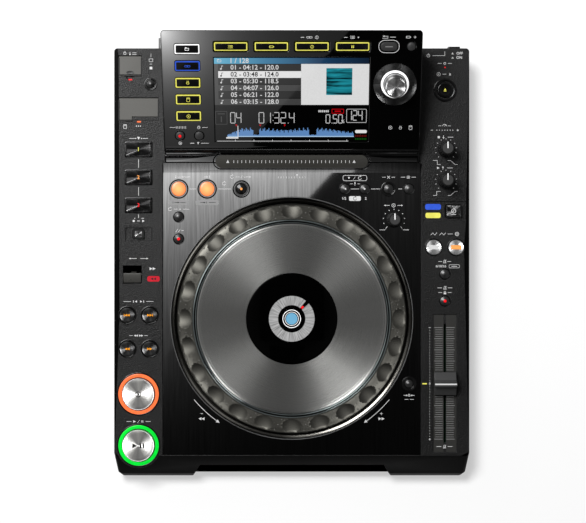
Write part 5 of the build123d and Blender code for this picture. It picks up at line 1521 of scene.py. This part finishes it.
text_lift = 0.09
row_text = []
row_labels = [
    "04:12 - 120.0", "03:48 - 124.0", "05:30 - 118.5", "04:07 - 126.0", "06:21 - 122.0", "03:15 - 128.0",
]
for number, (row_y, row_label) in enumerate(zip(rows_at, row_labels)):
    note = group(
        dot(0.75, -0.4, -1.2), stroke(0.4, 3.0, 0.2, 0.1), stroke(1.4, 0.5, 0.8, 1.4), x=-61.6, y=row_y,
    )
    row_text.append(joined([note, figures(f"0{number + 1} - {row_label}", 4.2, -32.5, row_y)]))
lit_text = row_text.pop(1)
row_text.append(group(symbol("folder", -63.4), figures("1 / 128", 4.3, -46.0), y=77.3))
on_screen("screen_text", row_text, "screen_text", text_lift)
on_screen("screen_lit_text", [lit_text], "screen_black", text_lift)

screen_figures = [
    digits("04", 4.0, 9.6, -54.2, 26.2), digits("01:32.4", 4.3, 9.6, -29.0, 26.2, gap=1.6),
    digits("0.50", 3.4, 7.6, 30.4, 25.2, 0.7), digits("124", 3.4, 8.8, 49.6, 28.4, 0.75),
    framed(18.0, 12.6, 0.45, 1.2, 57.4, 28.0), figures("%", 3.0, 45.4, 22.8),
]
on_screen("screen_figures", screen_figures, "screen_digit")
deck_box = [
    framed(10.6, 12.2, 0.5, 0.6, -62.4, 26.2), figures("1", 5.2, -62.4, 24.6),
    stroke(6.4, 0.8, -62.4, 29.8),
]
on_screen("screen_deck_box", deck_box, "row_dim")
tempo_box = [framed(10.8, 4.2, 0.5, 0.5, 40.8, 32.2), stroke(5.4, 1.1, 40.8, 32.2)]
time_points = [triangle(1.9, -pi / 2, x, 19.2) for x in (-49.2, -28.0, -6.2)]
on_screen("screen_tempo_box", tempo_box + time_points, "screen_red")
on_screen(
    "screen_small_marks", [stroke(1.1, 1.8, 24.2 + step * 1.6, 32.2) for step in range(6)], "screen_text",
)

wave_pitch, wave_foot, wave_top = 0.75, 9.3, 8.2
wave = []
for step in range(150):
    song = 0.55 + 0.45 * sin(step * 0.045 + 0.8) * cos(step * 0.019)
    beat = 0.75 + 0.25 * sin(step * 1.9) * cos(step * 0.7)
    quiet = 0.22 if 30 < step < 38 or 96 < step < 106 else 1.0
    fade_in = min(1.0, (step + 4) / 20)
    height = max(0.7, wave_top * min(1.0, song + 0.35) * beat * quiet * fade_in)
    wave.append(stroke(0.76, height, -57.0 + step * wave_pitch, wave_foot + height / 2))
on_screen("screen_wave", wave, "screen_blue")
on_screen("screen_wave_base", [stroke(112.4, 0.8, -0.9, 9.2)], "screen_pale_blue", 0.07)
screen_lines = [
    stroke(0.55, 11.6, -47.8, 13.2), stroke(10.6, 1.3, -53.0, 7.9), stroke(117.0, 0.35, -8.0, 4.9),
]
screen_lines += [stroke(0.4, 1.6, -50.2 + step * 16.55, 5.4) for step in range(7)]
screen_lines.append(patch(10.4, 2.9, 61.6, 13.7, 1.2))
on_screen("screen_lines", screen_lines, "screen_white", 0.1)
for colour, y in (("red", 9.7), ("green", 6.9)):
    dim_marks = [stroke(1.0, 1.6, 57.0 + step * 1.5, y) for step in range(7)]
    on_screen(f"screen_dim_{colour}", dim_marks, f"screen_dim_{colour}")

# ---- Plain CAD nodes keep their own form ---------------------------------------------------------
slot_of = {entry["node"]: entry["material_slot"] for entry in frame["record"]["subparts"]}
for node, shown in frame["nodes"].items():
    if not shown.hide_render:
        shown.data.materials.clear()
        shown.data.materials.append(finishes[slot_of[node]])

# ---- Camera, floor and light ---------------------------------------------------------------------
camera_place = Vector((1.15, -1.9, 1319.0)) * MM
camera = bpy.data.objects.new("camera", bpy.data.cameras.new("camera"))
camera.location = camera_place
camera.data.lens = 85.93
camera.data.sensor_width = 36.0
camera.data.clip_start = 0.05
scene.collection.objects.link(camera)
scene.camera = camera
scene.view_settings.view_transform = "Standard"

white = (1, 1, 1, 1)
paper = Finish("pale paper", 0.9, gloss=0.1)
paper.set(("Base Color", (0.3, 0.3, 0.3, 1)), ("Emission Color", white), ("Emission Strength", 0.5))
floor = made_object("floor", flat(12.0, 12.0), paper.material)
floor.visible_glossy = False
floor.visible_diffuse = False


def mirrored(point, normal, height):
    """Where the camera, mirrored in a flat face at a point, looks at a given height."""
    sight = (point - camera_place).normalized()
    away = sight - 2 * sight.dot(normal) * normal
    return point + away * ((height - point.z) / away.z)


def lights_only(lamp, name, pieces):
    """Lets a light reach only the named pieces."""
    chosen = bpy.data.collections.new(name)
    for piece_name in pieces:
        chosen.objects.link(bpy.data.objects[piece_name])
    lamp.light_linking.receiver_collection = chosen


card_height = 1.6  # metres above the floor


def shine_material(name, fades):
    """A card's glow: each fade is full up to a line or in a spot, and falls off beyond it."""
    material = bpy.data.materials.new(name)
    material.use_nodes = True
    tree = material.node_tree
    tree.nodes.clear()
    place = add_node(tree, "UVMap", uv_map="shine").outputs["UV"]
    total = 0.0
    for strength, middle, reach in fades:
        off = add_node(tree, "VectorMath", {0: place, 1: (*middle, 0)}, operation="SUBTRACT").outputs[0]
        if isinstance(reach, tuple):
            along = {0: off, 1: (1 / reach[0], 1 / reach[1], 0)}
            fall = add_node(tree, "VectorMath", along, operation="DOT_PRODUCT").outputs["Value"]
        else:
            distance = add_node(tree, "VectorMath", {0: off}, operation="LENGTH").outputs["Value"]
            fall = sums(tree, "MULTIPLY", distance, 1 / reach)
        level = sums(tree, "MULTIPLY", sums(tree, "EXPONENT", fall), strength)
        total = sums(tree, "ADD", total, sums(tree, "MINIMUM", level, strength))
    glow = add_node(tree, "Emission", {"Strength": total})
    add_node(tree, "OutputMaterial", {"Surface": glow.outputs[0]})
    return material


def light_card(name, on, corners, fades, pieces):
    """A softbox in the shape that shows as a diagonal shine on a flat face, with its own fall of light.

    Each fade is (strength, middle, reach): a negative reach is round, a pair falls along the face.
    """
    normal = (on.to_3x3() @ Vector((0, 0, 1))).normalized()
    work = bmesh.new()
    shown_at = work.loops.layers.uv.new("shine")
    places = [mirrored(on @ Vector((x, y, 0)), normal, card_height) for x, y in corners]
    panel = work.faces.new([work.verts.new(place) for place in places])
    for corner, place in zip(panel.loops, corners):
        corner[shown_at].uv = place
    card = made_object(name, work, shine_material(name, fades))
    card.visible_camera = False
    card.visible_diffuse = False
    card.visible_shadow = False
    card.visible_transmission = False
    lights_only(card, f"{name} receivers", pieces)


plate_faces = ["brushed_plate"]
display_faces = ["display_shell", "screen_window"] + screen_names
light_card("deck card", deck, [(-230, 300), (237, 300), (-230, -216)],
           [(11.3, (-56, 84), (-320, 56))], plate_faces)
light_card("deck haze", deck, [(237, 300), (237, -216), (-230, -216)],
           [(0.36, (95, 85), -75.0), (0.72, (-125, -80), -32.0), (0.03, (0, 0), (9999, 9999))], plate_faces)
light_card("display card", display, [(-150, 160), (99, 160), (-44.3, -4), (-150, -4)],
           [(18.0, (-114, 104.5), -18.0), (1.9, (-114, 104.5), -68.0), (0.2, (0, 104.5), (9999, 9999))],
           display_faces)
light_card("lip card", lip, [(-135, 19), (60, 19), (52, -14), (-135, -14)],
           [(8.2, (-116, -1), (-9000, -7.5)), (0.8, (-116, 13), (-300, 90))], plate_faces + display_faces)
light_card("lip haze", lip, [(60, 19), (135, 19), (135, -14), (52, -14)],
           [(1.4, (44, -1), (-60, -6.0)), (0.3, (44, 16), (-60, 20))], plate_faces + display_faces)


def area_light(name, place, power, size, aim=(0, 0, 0.03)):
    """A square softbox that looks at the player."""
    lamp = bpy.data.lights.new(name, "AREA")
    lamp.shape = "SQUARE"
    lamp.size = size
    lamp.energy = power
    made = bpy.data.objects.new(name, lamp)
    made.location = place
    made.rotation_euler = (Vector(aim) - Vector(place)).to_track_quat("-Z", "Y").to_euler()
    scene.collection.objects.link(made)
    return made


wheel_pieces = [
    "grip_ring", "grip_dimples", "grip_bumps", "touch_plate", "wheel_rim", "jog_bowl", "bowl_edge",
]
studio_pieces = ["floor", "deck card", "deck haze", "display card", "lip card", "lip haze"]
material_of = {
    shown.name: shown.data.materials[0].name for shown in scene.objects
    if shown.type == "MESH" and shown.name not in wheel_pieces + studio_pieces
}
pad_pieces = [name for name, material in material_of.items() if material in ("spun pad", "spun key")]
cap_pieces = [
    name for name, material in material_of.items()
    if material in ("spun cap", "dark spun cap", "silver cap", "spun selector", "spun edge")
]
plain_pieces = [name for name in material_of if name not in pad_pieces + cap_pieces]
grip_pieces = ["grip_ring", "grip_bumps"]
lights_only(area_light("key softbox", (-0.72, 0.76, 1.35), 28.0, 0.9), "key receivers", plain_pieces)
lights_only(area_light("floor light", (-0.24, 0.42, 1.55), 46.0, 0.32), "floor receivers", ["floor"])
wheel_middle = Vector((0, jog_y * MM, 0.07))
pads_middle = Vector((-0.138, 0.06, 0.06))


def ring_lights(name, pieces, lamps, size=0.4, middle=wheel_middle, distance=1.2):
    """Softboxes in a ring; each lamp is its azimuth, its angle from straight up, and its power."""
    for number, (azimuth, lean, power) in enumerate(lamps):
        leaning = Matrix.Rotation(radians(lean), 3, "Y") @ Vector((0, 0, 1))
        out = Matrix.Rotation(radians(azimuth), 3, "Z") @ leaning
        lamp = area_light(f"{name} light {number + 1}", middle + out * distance, power, size, middle)
        lights_only(lamp, f"{name} receivers {number + 1}", pieces)


ring_lights(
    "plate", ["touch_plate", "wheel_rim"], [(126, 42, 2.9), (306, 42, 3.2), (45, 50, 2.6), (224, 50, 2.1)],
)
ring_lights("plate fill", ["touch_plate"], [(0, 2, 0.2)], 0.9)
ring_lights("grip", grip_pieces, [(138, 34, 12.0), (312, 34, 3.0), (45, 34, 4.0), (220, 34, 5.0)])
ring_lights("grip fill", grip_pieces, [(310, 19, 1.6)], 0.3)
ring_lights("dimple", ["grip_dimples"], [(138, 10, 5.0), (310, 9, 0.6)], 0.36)
ring_lights("bowl", ["jog_bowl"], [(131, 17, 17.0), (318, 17, 2.4), (40, 17, 0.7), (225, 17, 0.7)], 0.22)
ring_lights(
    "bowl edge", ["bowl_edge"], [(131, 17, 3.0), (318, 17, 1.0), (40, 17, 0.2), (225, 17, 0.5)], 0.3,
)
ring_lights("pad", pad_pieces, [(29, 38, 13.0), (209, 38, 13.0)], middle=pads_middle)
ring_lights("cap", cap_pieces, [(14, 40, 9.0), (197, 40, 9.0), (120, 30, 0.8)])

world = bpy.data.worlds.new("studio")
scene.world = world
world.use_nodes = True
sky = world.node_tree
toward = add_node(sky, "TexCoord").outputs["Generated"]


def sky_patch(direction, start, end, low, high):
    """A round part of the sky, with its own brightness inside an angle's cosine."""
    sides = {0: toward, 1: Vector(direction).normalized()}
    lined_up = add_node(sky, "VectorMath", sides, operation="DOT_PRODUCT").outputs["Value"]
    limits = {"Value": lined_up, "From Min": start, "From Max": end, "To Min": low, "To Max": high}
    return add_node(sky, "MapRange", limits, interpolation_type="SMOOTHSTEP").outputs["Result"]


# Overhead and where the tilted display mirrors it, the sky is dark; a window stands at the rear left.
overhead = sky_patch((0, 0, 1), 0.90, 0.975, 1.0, 0.0)
display_mirror = sky_patch((0, -0.651, 0.759), 0.93, 0.975, 1.0, 0.0)
dome = sums(sky, "MULTIPLY", sums(sky, "MULTIPLY", overhead, display_mirror), 0.22)
window = sky_patch((-0.7, 0.7, 0.12), 0.72, 0.93, 0.0, 1.2)
feed(sky, sky.nodes["Background"], {"Color": white, "Strength": sums(sky, "ADD", dome, window)})
